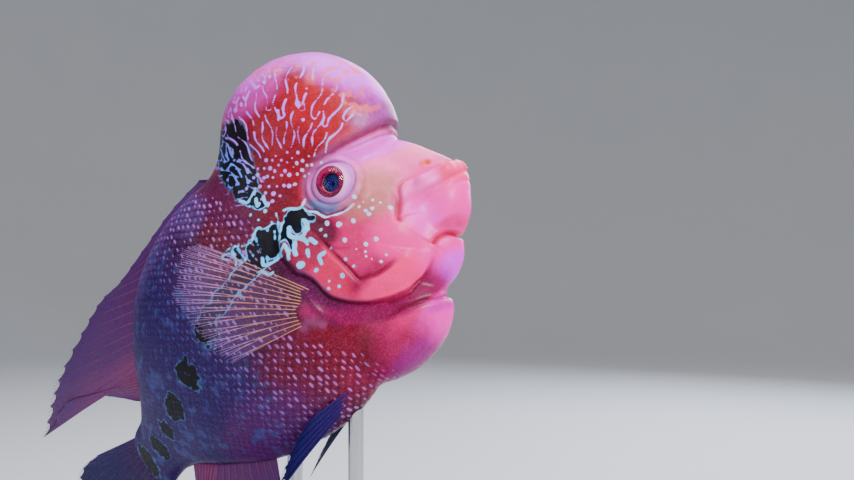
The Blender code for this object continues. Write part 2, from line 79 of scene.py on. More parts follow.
# Ridges and grooves round the socket: radius, width, height, share of it that runs all round and not
# only below and behind the eye
EYE_RIDGES = [(9.8, 0.9, 0.8, 1.0), (11.6, 0.8, -0.5, 0.4), (13.8, 1.7, 0.9, 0.0)]
NOSTRIL = (-9.8, -2.4)
IRIS = (-41.7, 13.4)
IRIS_SIZE = (5.5, 6.2)
DOME_REACH, DOME_HEIGHT, DOME_THICK = 1.12, 0.75, 0.35    # the reach is in shares of the iris

# Folds of the skin. Each has its line in the side view, then height and reach of the skin on the
# left of the line and on its right, then depth and width of the groove on the line, then the
# shares of the line over which it fades in and out
FOLDS = {
    "hump crease": ([(-4, 22), (-9.9, 20.7), (-19.8, 20.1), (-27.2, 21.0), (-32.4, 21.6),
                     (-38.2, 22.4), (-44.5, 24.2)], (0.5, 3.0), (1.1, 7.0), (1.8, 1.0), (0.0, 0.1)),
    "thin crease": ([(-8, 17.6), (-15.6, 17.7), (-21.4, 18.2), (-26.4, 18.9), (-34.0, 21.0)],
                    (0.4, 3.0), (0.0, 2.0), (0.65, 0.5), (0.1, 0.3)),
    "front of gill plate": ([(-60.2, 8.0), (-59.1, 4.3), (-58.6, -3.6), (-58.4, -8.8), (-57.8, -16.0),
                             (-57.4, -22.4), (-54.5, -24.1), (-51.5, -25.6), (-47.5, -26.3),
                             (-44.4, -26.3), (-40.4, -26.2), (-34.3, -25.0)],
                            (-0.6, 5.0), (1.0, 7.0), (0.8, 0.8), (0.12, 0.3)),
    "gill rim": ([(-28.5, -28.6), (-30.3, -31.0), (-34.5, -33.8), (-39.0, -35.2), (-42.3, -35.6),
                  (-46.3, -36.4), (-50.1, -35.5), (-54.5, -33.7), (-61.0, -29.5), (-66.3, -23.9),
                  (-69.0, -18.4), (-69.3, -11.6), (-70.6, -7.3), (-72.4, -4.6), (-72.6, 0.8),
                  (-72.4, 5.5), (-70.1, 10.3), (-67.5, 14.9), (-65.5, 18.4)],
                 (-1.3, 5.0), (1.2, 9.0), (0.9, 0.8), (0.13, 0.2)),
    "mouth": ([(-14.0, -32.5), (-18.4, -30.8), (-20.7, -28.7), (-23.4, -27.6), (-25.5, -27.6),
               (-28.5, -28.6)], (0.6, 3.0), (0.9, 3.5), (2.6, 0.9), (0.0, 0.05)),
    "lip fold": ([(-2.0, -6.5), (-5.1, -6.8), (-10.5, -5.5), (-16.5, -4.3), (-20.9, -3.2),
                  (-23.7, -4.5), (-26.3, -8.6), (-29.2, -12.1), (-31.5, -14.1), (-31.0, -16.2)],
                 (0.7, 3.5), (-0.2, 3.0), (1.3, 0.8), (0.0, 0.04)),
    "upper lip groove": ([(0.5, -12.9), (-7.3, -13.0), (-14.5, -12.3), (-19.3, -11.9), (-22.5, -13.4)],
                         (0.4, 2.0), (0.4, 2.0), (0.7, 0.8), (0.0, 0.3)),
    "lower lip groove": ([(-0.5, -16.4), (-12.8, -14.9), (-20.0, -13.0)],
                         (0.2, 2.0), (0.3, 1.6), (0.4, 0.8), (0.1, 0.4)),
    "throat groove": ([(-31.0, -44.5), (-38.4, -45.7), (-44.3, -43.3), (-51.9, -40.8), (-56.5, -40.3),
                       (-62.5, -38.2)], (1.2, 7.0), (-0.6, 5.0), (1.0, 1.2), (0.0, 0.3)),
    "shoulder ridge": ([(-74.4, -6.0), (-75.0, -9.5), (-75.3, -13.7), (-75.3, -20.6), (-73.5, -27.0)],
                       (0.9, 2.0), (0.9, 1.6), (0.0, 1.0), (0.3, 0.4)),
    "cheek hollow": ([(-58.3, -2.4), (-56.6, -7.1), (-53.3, -10.3), (-48.9, -12.4)],
                     (0.3, 4.0), (-0.4, 4.0), (0.2, 1.0), (0.3, 0.5)),
}

# Fins: rows of (root, tip), with the outlines of the solids; each ray runs from its root to its tip.
# The pectoral's rays start closer together than in the solid, out of the fleshy lobe
DORSAL = [((-78, 0, 55), (-84, 0, 60.6)), ((-88, 0, 55), (-103, 0, 60.6)),
          ((-101, 0, 54), (-123, 0, 58.2)), ((-115, 0, 51), (-145, 0, 58.8)),
          ((-129, 0, 47), (-165, 0, 64)), ((-141, 0, 42), (-190, 0, 65)),
          ((-151, 0, 36), (-221, 0, 65.2)), ((-159, 0, 30.5), (-247, 0, 63.8)),
          ((-164, 0, 27), (-267, 0, 58.4)), ((-168, 0, 24), (-237, 0, 57)),
          ((-171, 0, 21.5), (-215, 0, 47.5)), ((-174, 0, 19.5), (-198, 0, 34)),
          ((-177, 0, 17), (-184, 0, 22.5))]
ANAL = [((-133, 0, -43), (-141, 0, -54)), ((-139, 0, -40), (-153, 0, -60)),
        ((-146, 0, -36), (-169, 0, -64)), ((-153, 0, -31.5), (-190, 0, -65)),
        ((-159, 0, -27.5), (-214, 0, -62)), ((-164, 0, -24), (-243, 0, -54)),
        ((-168, 0, -21.5), (-222, 0, -48)), ((-172, 0, -19), (-204, 0, -38)),
        ((-176, 0, -16.5), (-187, 0, -24))]
CAUDAL = [((-200, 0, 12.5), (-236, 0, 26.5)), ((-202, 0, 11), (-256, 0, 31)),
          ((-203, 0, 8.5), (-266, 0, 26)), ((-204, 0, 4.5), (-271, 0, 14)),
          ((-204, 0, 0), (-273, 0, 0.5)), ((-204, 0, -4.5), (-271, 0, -13)),
          ((-203, 0, -8.5), (-266, 0, -25)), ((-202, 0, -11), (-256, 0, -30)),
          ((-200, 0, -12.5), (-236, 0, -26))]
PECTORAL = [((-72.6, 20.6, -14.0), (-89.6, 34, 26.6)), ((-73.6, 20.4, -15.0), (-93.4, 35, 27.3)),
            ((-74.6, 20.2, -15.9), (-97.7, 36, 26.1)), ((-75.6, 20.0, -16.9), (-101.7, 36, 21.6)),
            ((-76.6, 19.8, -17.8), (-105, 36, 17)), ((-77.6, 19.6, -18.8), (-106.3, 35, 10.9)),
            ((-78.6, 19.4, -19.7), (-107.8, 33, 1.9)), ((-79.6, 19.2, -20.7), (-107.9, 31, -6.6)),
            ((-80.6, 19.0, -21.6), (-106.6, 29, -15.1))]
PELVIC = [((-80, 4.5, -50.5), (-134, 9.5, -57.5)), ((-82, 5.8, -50.3), (-129, 11.5, -55)),
          ((-84, 7.0, -50.0), (-122, 13.2, -52.5)), ((-86, 8.2, -49.4), (-114, 14.6, -50)),
          ((-88, 9.4, -48.8), (-104, 15.2, -48))]
# Each fin: rays, ripple, number of rays, thickness of a ray, share of the fin whose rays are spines,
# paint and slot
FINS = {
    "dorsal_fin": (DORSAL, 0.9, 30, 0.55, 0.5, "mauve", "fin"),
    "anal_fin": (ANAL, 0.9, 17, 0.55, 0.3, "mauve", "fin"),
    "caudal_fin": (CAUDAL, 1.0, 17, 0.6, 0.0, "dark", "dark_fin"),
    "pelvic_fin_right": (PELVIC, 0.3, 6, 0.6, 0.0, "dark", "dark_fin"),
    "pelvic_fin_left": (PELVIC, 0.3, 6, 0.6, 0.0, "dark", "dark_fin"),
    "pectoral_fin_right": (PECTORAL, 0.5, 14, 0.21, 0.0, "clear", "clear_fin"),
    "pectoral_fin_left": (PECTORAL, 0.5, 14, 0.21, 0.0, "clear", "clear_fin"),
}
# Paint of the webs and of the rays: pigments at root, middle and tip, opacity of the web, pigment
# of its edge
FIN_PAINT = {
    "mauve": (((0.20, 0.032, 0.14), (0.15, 0.028, 0.14), (0.09, 0.020, 0.13)),
              ((0.20, 0.034, 0.13), (0.15, 0.030, 0.14), (0.08, 0.020, 0.13)), 0.98, (0.06, 0.014, 0.12)),
    "dark": (((0.024, 0.002, 0.06), (0.009, 0.002, 0.07), (0.004, 0.002, 0.05)),
             ((0.05, 0.006, 0.10), (0.022, 0.007, 0.11), (0.014, 0.008, 0.12)), 0.98, None),
    "clear": (((0.40, 0.150, 0.35), (0.40, 0.200, 0.60), (0.45, 0.250, 0.70)),
              ((0.44, 0.200, 0.10), (0.40, 0.170, 0.12), (0.42, 0.220, 0.52)), 0.035, None),
}
WEB_STEPS, WEB_CUTS, RAY_STEPS = 26, 4, 22    # mesh steps along the web, between its rays, along a ray

# Scales: spacing at the deepest part of the trunk and on the breast, mesh points across and along,
# height of the tip, painted shade toward the root where the scale ahead covers it together with a darker
# rim, size of the pale spot
TRUNK_SCALE = (3.9, (7, 7), 0.36, 0.72, 0.9)
BREAST_SCALE = (2.1, (5, 5), 0.05, 0.1, 0.0)
DEEP_HALF_GIRTH = 125.0
SCALE_FRONT = [(-86, 72), (-80.5, 52), (-76, 40), (-73, 30), (-71.5, 22), (-74.5, 13), (-76, 2),
               (-76.8, -12), (-79, -30), (-72, -42), (-66, -62)]
BREAST_TOP = [(-24, -49), (-38.4, -46.5), (-44.3, -44.5), (-51.9, -42.2), (-56.5, -41.5),
              (-62.5, -38.5), (-68, -31), (-74, -24), (-84, -20)]
BARE_FOOT = (-79.5, -21.0)    # no scales within an oval round this place at the pectoral's foot
SCALE_SPLIT = -134.0          # where the trunk's scales are divided in a fore and a rear piece
BAKE_PATCH = 0.0015           # half the width of a scale's patch on the bake's map
BAKE_LENGTH, BAKE_BEHIND = 220.0, 212.0       # length of skin on the map, and how far it runs back


def srgb(red, green, blue):
    """Linear colour of an 8-bit display colour"""
    c = np.array([red, green, blue], float) / 255
    return np.where(c <= 0.04045, c / 12.92, ((c + 0.055) / 1.055) ** 2.4)


# Ground colours, sprayed one over another: centre x and z, radii, tilt, pigment, strength. Pigments
# are linear colours; the lesser channels of a strong red or blue are close to nothing. A few sprays,
# marked below, hold painted shade or painted sheen
SPRAY = {
    "shoulder": ((-82, 26), (15, 18), 0, (0.090, 0.001, 0.014), 0.9),
    # partly the back's own mauve, partly a painted blue-lilac sheen along the silhouette
    "back": ((-116, 58), (70, 13), 8, (0.085, 0.020, 0.18), 0.8),
    "belly": ((-88, -36), (22, 20), 0, (0.13, 0.001, 0.022), 0.9),
    "belly rear": ((-122, -38), (24, 14), -12, (0.080, 0.006, 0.12), 0.8),
    "breast": ((-60, -46), (24, 16), 0, (0.33, 0.001, 0.07), 1.0),
    "breast foot": ((-60, -58), (18, 6), 0, (0.28, 0.001, 0.20), 0.8),
    "breast front": ((-36, -50), (15, 13), 0, (0.92, 0.004, 0.48), 0.95),
    "breast top edge": ((-48, -42.5), (13, 4.0), 10, (0.62, 0.002, 0.14), 0.7),
    "breast rear": ((-77, -36), (11, 14), 0, (0.15, 0.001, 0.012), 0.85),
    "hump": ((-46, 40), (35, 38), 0, (0.26, 0.001, 0.009), 1.0),
    "hump right": ((-26, 37), (11, 17), 15, (0.38, 0.006, 0.014), 0.9),
    "hump rear": ((-60, 44), (7, 26), -14, (0.14, 0.001, 0.010), 0.8),
    "shoulder front": ((-72, 21), (12, 9), 0, (0.090, 0.001, 0.013), 0.95),
    "hump low": ((-62, 22), (8, 6), 0, (0.13, 0.001, 0.012), 0.85),
    "nape": ((-79, 40), (8, 22), 8, (0.075, 0.003, 0.045), 0.9),
    # painted blue-lilac sheen along the back's silhouette
    "nape ridge sheen": ((-92, 46), (8, 9), 0, (0.080, 0.045, 0.22), 0.6),
    "hump top edge": ((-45, 65), (15, 10), -22, (0.50, 0.030, 0.34), 0.8),
    # partly the hump's own colour, partly painted lilac rim light on its top
    "hump top": ((-33, 77), (27, 14), -24, (0.74, 0.060, 0.80), 0.95),
    "hump front": ((-5, 51), (14, 32), 22, (0.72, 0.060, 0.86), 0.97),
    "hump foot": ((-13, 25), (9, 4.5), 2, (0.34, 0.050, 0.34), 0.8),
    "snout": ((-22, 6), (24, 15), -20, (0.94, 0.130, 0.40), 1.0),
    "snout top": ((-19, 15.0), (21, 4.4), -12, (0.84, 0.070, 0.78), 0.9),
    "cheek": ((-47, -11), (19, 14), 0, (0.58, 0.003, 0.125), 1.0),
    "cheek front": ((-34, -18), (12, 12), 0, (0.94, 0.010, 0.30), 0.9),
    "cheek tan": ((-34, 0), (14, 10.5), -30, (0.48, 0.150, 0.13), 0.85),
    "jaw band": ((-46, -31), (22, 5.5), -6, (0.94, 0.004, 0.19), 0.95),
    "gill plate": ((-65, -15), (7, 14), -8, (0.62, 0.003, 0.085), 0.95),
    "gill top": ((-65, 0), (7, 8), 0, (0.32, 0.004, 0.050), 0.85),
    "dark cheek": ((-55.5, 0), (4.8, 7), 20, (0.075, 0.001, 0.018), 0.92),
    "lips": ((-13, -16), (17, 14), 0, (0.95, 0.025, 0.42), 1.0),
    "lip side": ((-24, -20), (6, 8), 0, (0.95, 0.045, 0.62), 0.8),
    "upper lip": ((-14, -8), (13, 3.4), -8, (0.95, 0.110, 0.55), 0.85),
    "upper lip front": ((-3, -11), (7, 5), 0, (0.95, 0.008, 0.15), 0.85),
    "lip front": ((-8, -24), (7, 9), -15, (0.95, 0.008, 0.40), 0.9),
    "lip corner": ((-20, -27), (7, 3.4), 0, (0.66, 0.001, 0.15), 0.85),
    "chin": ((-26, -37), (12, 12), 20, (0.90, 0.004, 0.36), 1.0),
    "chin right": ((-27, -41), (8, 7), 10, (0.78, 0.004, 0.85), 0.9),
    "chin foot": ((-37, -46), (11, 3.2), 5, (0.56, 0.001, 0.34), 0.9),
    "fin foot": ((-77, -19), (4, 4), 0, (0.28, 0.006, 0.09), 0.85),
    # painted shade under the gill cover's edge
    "shade under the gill": ((-73, -16), (4, 13), 0, (0.075, 0.001, 0.05), 0.9),
    "eye rim": ((-41.6, 12.8), (10.2, 10.2), 0, (0.54, 0.140, 0.50), 0.9),
    "eye pouch": ((-49.4, 8.0), (6.6, 3.4), -46, (0.07, 0.150, 0.34), 0.85),
    "nostril": ((-10.2, -2.2), (2.2, 1.3), -30, (0.80, 0.090, 0.020), 0.9),
    # painted shade in the maxilla's crease
    "maxilla crease shade": ((-28.6, -9.5), (1.4, 5.5), -25, (0.30, 0.020, 0.05), 0.6),
}
# Colour laid along lines, most of it painted shade in creases and under the gill rim, one of them a
# painted
# highlight: the line, distance from it where the colour begins and ends, counted positive on its left as
# drawn, softness, shares of the line where it begins and ends, pigment, strength
EYE_POUCH_LINE = [(-53.5, 15.5), (-55.5, 13.5), (-55.5, 10.5), (-53.5, 8.5), (-52.5, 6.0), (-51.5, 3.5),
                  (-49.5, 2.5), (-47.5, 1.5), (-44.5, 0.5), (-40.5, 0.5)]
BANDS = {
    # painted shade under the overhanging gill rim
    "throat": (FOLDS["gill rim"][0], 0.1, 8.0, 1.4, (0.10, 0.56), (0.20, 0.001, 0.06), 1.0),
    # painted shade behind the gill cover's edge
    "gill slit shade": (FOLDS["gill rim"][0], 0.0, 4.0, 1.2, (0.48, 0.95), (0.07, 0.001, 0.045), 0.9),
    "gill edge": (FOLDS["gill rim"][0], -1.2, -0.1, 0.4, (0.36, 0.72), (0.60, 0.110, 0.34), 0.5),
    # painted shade along the fold at the front of the gill plate
    "cheek edge shade": (FOLDS["front of gill plate"][0], -0.3, 1.5, 0.6, (0.06, 0.84),
                   (0.20, 0.001, 0.03), 0.8),
    # painted shade under the hump's overhang along its crease
    "crease": (FOLDS["hump crease"][0], -2.6, 0.3, 0.7, (0.02, 0.90), (0.20, 0.030, 0.11), 0.7),
    # painted shade in the thin crease
    "thin crease": (FOLDS["thin crease"][0], -0.5, 0.4, 0.3, (0.15, 0.80), (0.34, 0.060, 0.20), 0.5),
    # painted shade between the pouch under the eye and its pale line
    "pouch foot shade": (EYE_POUCH_LINE, 0.4, 1.5, 0.4, (0.15, 0.90), (0.07, 0.008, 0.05), 0.85),
    # painted highlight on the lower edge of the pectoral's fleshy lobe
    "fin foot highlight": ([(-85, -22.5), (-82, -21.8), (-79.5, -22.3), (-77.8, -25.0), (-76.3, -29.0)],
                   -0.8, 0.8, 2.3, (0.05, 0.85), (0.36, 0.100, 0.32), 0.5),
    # painted shade in the mouth's groove
    "mouth": (FOLDS["mouth"][0], -1.6, 1.8, 0.7, (-0.2, 1.2), (0.82, 0.001, 0.22), 0.8),
    # painted shade along the lip fold
    "maxilla": (FOLDS["lip fold"][0], -0.3, 0.9, 0.4, (0.50, 1.2), (0.50, 0.015, 0.06), 0.6),
}
CROWN = ((-46, 36), (31, 34))              # oval outside which the hump's crown is blotched
WORM_OVAL = ((-44, 38), (31, 36))          # oval outside which the wandering lines fade
TRUNK_RED = (0.050, 0.001, 0.020)
TRUNK_REAR = (0.014, 0.004, 0.100)
REAR_SPECKLE = (0.035, 0.060, 0.240)
CROWN_BLOTCH = (0.74, 0.090, 0.14)
# Painted shade: the skin's colour is darkened by this where its folds sink, in grooves, the eye socket and
# the nostril
CAVITY_SHADE = (0.50, 0.02, 0.12)
INK = (0.003, 0.002, 0.006)
WORM, WORM_REAR = (0.55, 0.180, 0.92), (0.14, 0.240, 0.92)
RIM_HEAD, RIM_REAR = (0.06, 0.380, 0.86), (0.05, 0.130, 0.30)
PEARL, STROKE = (0.50, 0.560, 0.95), (0.15, 0.560, 0.95)
PEARL_SCALE, PEARL_REAR = (0.34, 0.120, 0.46), (0.055, 0.075, 0.34)

# Black flower marks: blots with centre x and z and radii, then jagged bars with their half width
MARKS = [(-111.0, 5.5, 5.0, 6.4), (-130.0, 1.0, 5.5, 7.4), (-148.5, -2.0, 6.0, 6.0),
         (-164.5, -3.4, 4.4, 4.8), (-180.0, -3.0, 5.4, 6.0), (-198.0, 0.0, 6.0, 8.0)]
MARK_BARS = [([(-60.5, 13.5), (-58.5, 11.5)], 2.6), ([(-58.5, 11.0), (-57.0, 8.5), (-55.5, 7.0)], 1.5),
             ([(-61.5, 10.5), (-62.5, 8.0)], 2.3),
             ([(-61.5, 15.0), (-63.5, 13.0), (-66.5, 11.0), (-69.0, 9.5)], 1.5),
             ([(-67.0, 10.0), (-67.0, 6.5), (-68.0, 3.5)], 0.9),
             ([(-69.0, 14.5), (-71.5, 12.0), (-73.0, 8.5), (-75.0, 7.5)], 2.0),
             ([(-72.5, 15.5), (-74.5, 11.5), (-77.0, 9.5)], 1.7),
             ([(-74.0, 18.0), (-75.5, 14.5), (-76.5, 11.5)], 0.9),
             ([(-78.0, 16.0), (-79.0, 13.5), (-79.5, 9.5), (-79.5, 6.5)], 1.5),
             ([(-80.0, 15.0), (-82.0, 11.5), (-82.5, 9.5), (-81.5, 7.0)], 1.4),
             ([(-84.5, 19.0), (-84.5, 16.0), (-84.0, 12.5), (-83.0, 9.0)], 1.3),
             ([(-89.0, 20.0), (-87.5, 18.5)], 0.9),
             ([(-83.5, 9.0), (-88.0, 9.0), (-92.5, 8.5), (-97.0, 9.0), (-102.0, 8.5), (-107.5, 8.0)], 4.1)]
HUMP_SHADE_EDGE = [(-70, 70), (-60, 64), (-53.6, 58.5), (-54.0, 52), (-56.4, 46), (-60.0, 39.6),
                   (-63.4, 33.5), (-64.6, 28.5), (-66.6, 22)]
HUMP_SHADE_FOOT = [(-60, 23), (-67, 24), (-71.0, 28.0), (-73.4, 34), (-74.0, 41), (-73.2, 48), (-72.4, 54),
                   (-74, 62), (-80, 75)]

# Pale-blue strokes, as lines in the side view with their half width
STROKES = [([(-64.5, 10.5), (-66.0, 8.5), (-65.5, 6.5), (-63.5, 4.5), (-61.5, 4.5)], 0.85),
           ([(-61.5, 4.5), (-59.5, 6.0), (-58.5, 7.5), (-58.5, 8.5)], 1.0),
           ([(-64.0, 4.5), (-63.0, 2.5), (-63.0, 0.5)], 0.7),
           ([(-66.0, 4.5), (-67.5, 2.5), (-68.5, 0.5)], 0.85),
           ([(-69.5, 6.5), (-70.0, 3.5), (-71.5, 1.0)], 0.8),
           ([(-69.5, 6.5), (-71.5, 5.5), (-73.0, 4.5)], 0.6),
           ([(-64.5, -1.5), (-65.5, -3.5)], 0.7), ([(-61.0, 1.0), (-60.5, -1.5)], 0.75),
           ([(-60.5, -6.5), (-62.5, -6.5), (-63.5, -9.0)], 0.8),
           ([(-78.5, 8.5), (-79.5, 6.0), (-77.0, 4.5), (-74.5, 4.5), (-72.5, 5.5)], 0.6),
           ([(-83.0, 5.5), (-81.5, 4.5), (-80.5, 2.0), (-79.0, 1.5)], 0.55),
           ([(-62.0, 17.5), (-60.5, 17.0), (-58.0, 14.5), (-56.0, 13.5), (-54.5, 14.5)], 0.6),
           ([(-65.5, 14.0), (-68.0, 11.5), (-70.0, 9.5)], 0.5),
           ([(-65.0, 18.5), (-66.0, 16.0), (-67.0, 14.5)], 0.5),
           ([(-76.0, 18.5), (-73.0, 19.0), (-71.5, 17.0), (-68.5, 16.5), (-68.0, 17.5)], 0.4),
           ([(-89.5, 21.0), (-87.0, 21.5), (-84.0, 20.5), (-82.0, 18.5), (-80.0, 17.0), (-77.5, 17.0),
             (-75.0, 19.0)], 0.4),
           ([(-85.5, 19.5), (-86.0, 16.0), (-87.5, 14.0)], 0.5),
           ([(-69.5, 13.5), (-71.0, 11.0)], 0.4),
           (EYE_POUCH_LINE, 0.42),
           ([(-72.5, 33.5), (-71.0, 30.5), (-68.5, 31.0), (-66.0, 31.5)], 0.6),
           ([(-67.5, 29.0), (-68.5, 26.5), (-67.5, 26.5)], 0.6),
           ([(-64.5, 27.5), (-65.5, 25.5), (-65.5, 23.5)], 0.6)]

# Wandering pale lines that fan out over the side of the hump from a point behind the eye: the point,
# the angles of the first and last row, the number of rows, the radii where they begin and end, the
# radius within which there are only dots, how far a line sways and its half width
FAN_CENTRE = (-63.0, 13.0)
FAN_ANGLES = (19.0, 104.0)
FAN_ROWS = 17
FAN_REACH = (10.0, 58.0)
FAN_DOTS = 26.0
FAN_SWAY = 0.7
FAN_LINE_HALF = 0.32

# Round pale spots on the cheek, the gill plate and the shoulder: x, z, radius. Like the strokes and
# the bars they are read off the photograph and rounded to the half millimetre
PEARLS = [(-52.5, 1.5, 0.75), (-49.5, -2.0, 1.0), (-44.5, -4.5, 1.0), (-56.0, 1.5, 0.85),
          (-56.0, -1.5, 0.9), (-51.5, -8.0, 0.9), (-54.5, -6.5, 0.5), (-42.5, -15.5, 0.8),
          (-46.5, -14.5, 0.8), (-49.0, -11.5, 0.4), (-50.5, -13.5, 0.5), (-48.5, -16.5, 0.45),
          (-51.0, -15.5, 0.55), (-49.5, -18.0, 0.5), (-52.5, -13.5, 0.35), (-48.5, -20.5, 0.5),
          (-46.5, -23.0, 0.6), (-43.5, -22.5, 0.5), (-57.5, -6.5, 0.6), (-56.0, -13.5, 0.5),
          (-55.5, -17.5, 0.5), (-39.5, -2.0, 0.5), (-37.0, -1.5, 0.65), (-34.0, -3.0, 0.6),
          (-32.5, -5.5, 0.6), (-36.0, -5.5, 0.8), (-38.5, -4.5, 0.7), (-38.5, -6.5, 0.8),
          (-31.0, -9.5, 0.9), (-61.0, 0.5, 0.5), (-69.5, -4.0, 1.6), (-66.5, -9.5, 0.8),
          (-60.5, -17.5, 0.9), (-64.0, -19.5, 0.7), (-67.5, -17.5, 0.65), (-68.5, -15.0, 0.5),
          (-65.5, -15.5, 0.5), (-38.5, 2.5, 0.7), (-59.0, 9.5, 0.65), (-83.5, 13.0, 0.7),
          (-67.5, 22.5, 0.7), (-72.5, 25.5, 0.6), (-71.5, 21.5, 0.5), (-71.0, 28.5, 0.5)]


def smooth_curve(x, xs, ys):
    """Curve through the stations, with slopes taken from their neighbours"""
    slope = np.gradient(ys, xs)
    i = np.clip(np.searchsorted(xs, x) - 1, 0, len(xs) - 2)
    h = xs[i + 1] - xs[i]
    t = np.clip((x - xs[i]) / h, 0, 1)
    return ((1 + 2 * t) * (1 - t) ** 2 * ys[i] + t * (1 - t) ** 2 * h * slope[i]
            + t * t * (3 - 2 * t) * ys[i + 1] + t * t * (t - 1) * h * slope[i + 1])


def ramp(x, a, b):
    """Smooth step from 0 at a to 1 at b"""
    t = np.clip((x - a) / (b - a), 0, 1)
    return t * t * (3 - 2 * t)


def join_soft(a, b, k):
    """Union of two distance fields with a fillet about k wide"""
    h = np.maximum(k - np.abs(a - b), 0) / k
    return np.minimum(a, b) - h * h * k * 0.25


def tilted(x, z, centre, radii, tilt):
    """Place in a tilted oval, as shares of its two radii"""
    a = math.radians(tilt)
    dx, dz = x - centre[0], z - centre[1]
    along = (dx * math.cos(a) + dz * math.sin(a)) / radii[0]
    return along, (dz * math.cos(a) - dx * math.sin(a)) / radii[1]


def lump_field(x, y, z, centre, radii, tilt, power):
    """Distance to a tilted ellipsoid; a power above 2 makes it squarer across"""
    u, v = tilted(x, z, centre, (radii[0], radii[2]), tilt)
    w = y / radii[1]
    if power == 2.0:
        size = np.sqrt(u * u + w * w + v * v)
        steep = np.sqrt((u / radii[0]) ** 2 + (w / radii[1]) ** 2 + (v / radii[2]) ** 2) + 1e-9
        return size * (size - 1) / steep
    side = np.sqrt(u * u + v * v)
    return ((side ** power + np.abs(w) ** power) ** (1 / power) - 1) * radii[1]


def trunk_field(x, y, z):
    """Distance to the trunk's oval sections"""
    top, bottom, half = (smooth_curve(x, STATIONS[:, 0], STATIONS[:, k]) for k in (1, 2, 3))
    tall = (top - bottom) / 2
    up = z - (top + bottom) / 2
    size = np.sqrt((y / half) ** 2 + (up / tall) ** 2)
    steep = np.sqrt((y / half ** 2) ** 2 + (up / tall ** 2) ** 2) + 1e-9
    d = size * (size - 1) / steep
    past_end = np.maximum(x - 0.5, -204 - x)
    return np.where(past_end > 0, np.sqrt(np.maximum(d, 0) ** 2 + past_end ** 2), d)


def lip_field(x, y, z):
    """Distance to the upper lip, a tapered roll"""
    points, radii, _ = UPPER_LIP
    nearest = None
    for (ax, ay, az), (bx, by, bz), ra, rb in zip(points[:-1], points[1:], radii[:-1], radii[1:]):
        run = (bx - ax, by - ay, bz - az)
        t = ((x - ax) * run[0] + (y - ay) * run[1] + (z - az) * run[2]) / sum(r * r for r in run)
        t = np.clip(t, 0, 1)
        d = np.sqrt((x - ax - t * run[0]) ** 2 + (y - ay - t * run[1]) ** 2 + (z - az - t * run[2]) ** 2)
        d = d - (ra + (rb - ra) * t)
        nearest = d if nearest is None else join_soft(nearest, d, 2.0)
    return nearest


def body_field(x, y, z):
    """Distance from the solids' outer surface, negative inside; the same on both sides"""
    y = np.abs(y)
    d = trunk_field(x, y, z)
    for name in ("cheek", "breast", "chin", "jaw"):
        centre, radii, tilt, power, blend = LUMPS[name]
        d = join_soft(d, lump_field(x, y, z, centre, radii, tilt, power), blend)
    d = join_soft(d, lip_field(x, y, z), UPPER_LIP[2])
    centre, radii, tilt, power, blend = LUMPS["hump"]
    blend = blend + HUMP_BLEND_BEHIND * ramp(-x, 35, 72)
    return join_soft(d, lump_field(x, y, z, centre, radii, tilt, power), blend)


def skin_field(x, y, z):
    """Distance from the plain skin, before its folds"""
    depth = SKIN_DEPTH_HEAD + (SKIN_DEPTH_TRUNK - SKIN_DEPTH_HEAD) * ramp(-x, 62, 82)
    (cx, cy, cz), radii, blend = FIN_FOOT
    foot = lump_field(x, np.abs(y) - cy, z, (cx, cz), radii, 25, 2.0)
    return join_soft(body_field(x, y, z) + depth, foot, blend)


def slope_of(field, p, step=0.05):
    """Gradient of a field at points"""
    return np.stack([(field(*(p + step * axis).T) - field(*(p - step * axis).T)) / (2 * step)
                     for axis in np.eye(3)], -1)


def unit(v):
    """Vectors of length 1"""
    return v / (np.linalg.norm(v, axis=-1, keepdims=True) + 1e-12)


def snap(field, points, steps=3):
    """Moves points onto a field's surface"""
    for _ in range(steps):
        slope = slope_of(field, points)
        steep = np.maximum((slope ** 2).sum(1), 0.25)
        move = -(field(*points.T) / steep)[:, None] * slope
        points = points + np.clip(move, -1.5, 1.5)
    return points


def spine(x):
    """Place and heading of the bent spine at each x, walked back from the snout in 1 mm steps"""
    steps = np.arange(0, 301)
    t = np.clip((BEND_START - -steps) / (BEND_START - BEND_END), 0, 1)
    heading = math.radians(BEND) * t * t * (3 - 2 * t)
    middle = (heading[1:] + heading[:-1]) / 2
    along = np.concatenate([[0], -np.cumsum(np.cos(middle))])
    aside = np.concatenate([[0], np.cumsum(np.sin(middle))])
    back = np.clip(-x, 0, 300)
    return [np.interp(back, steps, row) for row in (along, aside, heading)]


TURN = np.array(Matrix.Rotation(math.radians(YAW), 3, "Z")
                @ Matrix.Rotation(math.radians(-PITCH), 3, "Y")
                @ Matrix.Rotation(math.radians(ROLL), 3, "X"))


def place(points):
    """From the straight fish in millimetres to the posed model in metres"""
    x, y, z = points.T
    along, aside, heading = spine(x)
    bent = np.stack([along + np.maximum(x, 0) + y * np.sin(heading), aside + y * np.cos(heading), z], -1)
    return (bent @ TURN.T + SNOUT) * MM


def value_noise(points, cell, seed):
    """Smooth random values from -1 to 1 with a knot every cell millimetres"""
    table = np.random.RandomState(seed).uniform(-1, 1, (32, 32, 32))
    q = points / cell + 400.0
    base = np.floor(q).astype(int)
    t = q - base
    t = t * t * (3 - 2 * t)
    total = np.zeros(len(points))
    for corner in itertools.product((0, 1), repeat=3):
        weight = np.prod(np.where(np.array(corner) == 1, t, 1 - t), axis=1)
        i, j, k = ((base + corner) % 32).T
        total += weight * table[i, j, k]
    return total


def rough(points, *layers):
    """Sum of smooth random values, each layer with its height, cell and seed"""
    return sum(height * value_noise(points, cell, seed) for height, cell, seed in layers)


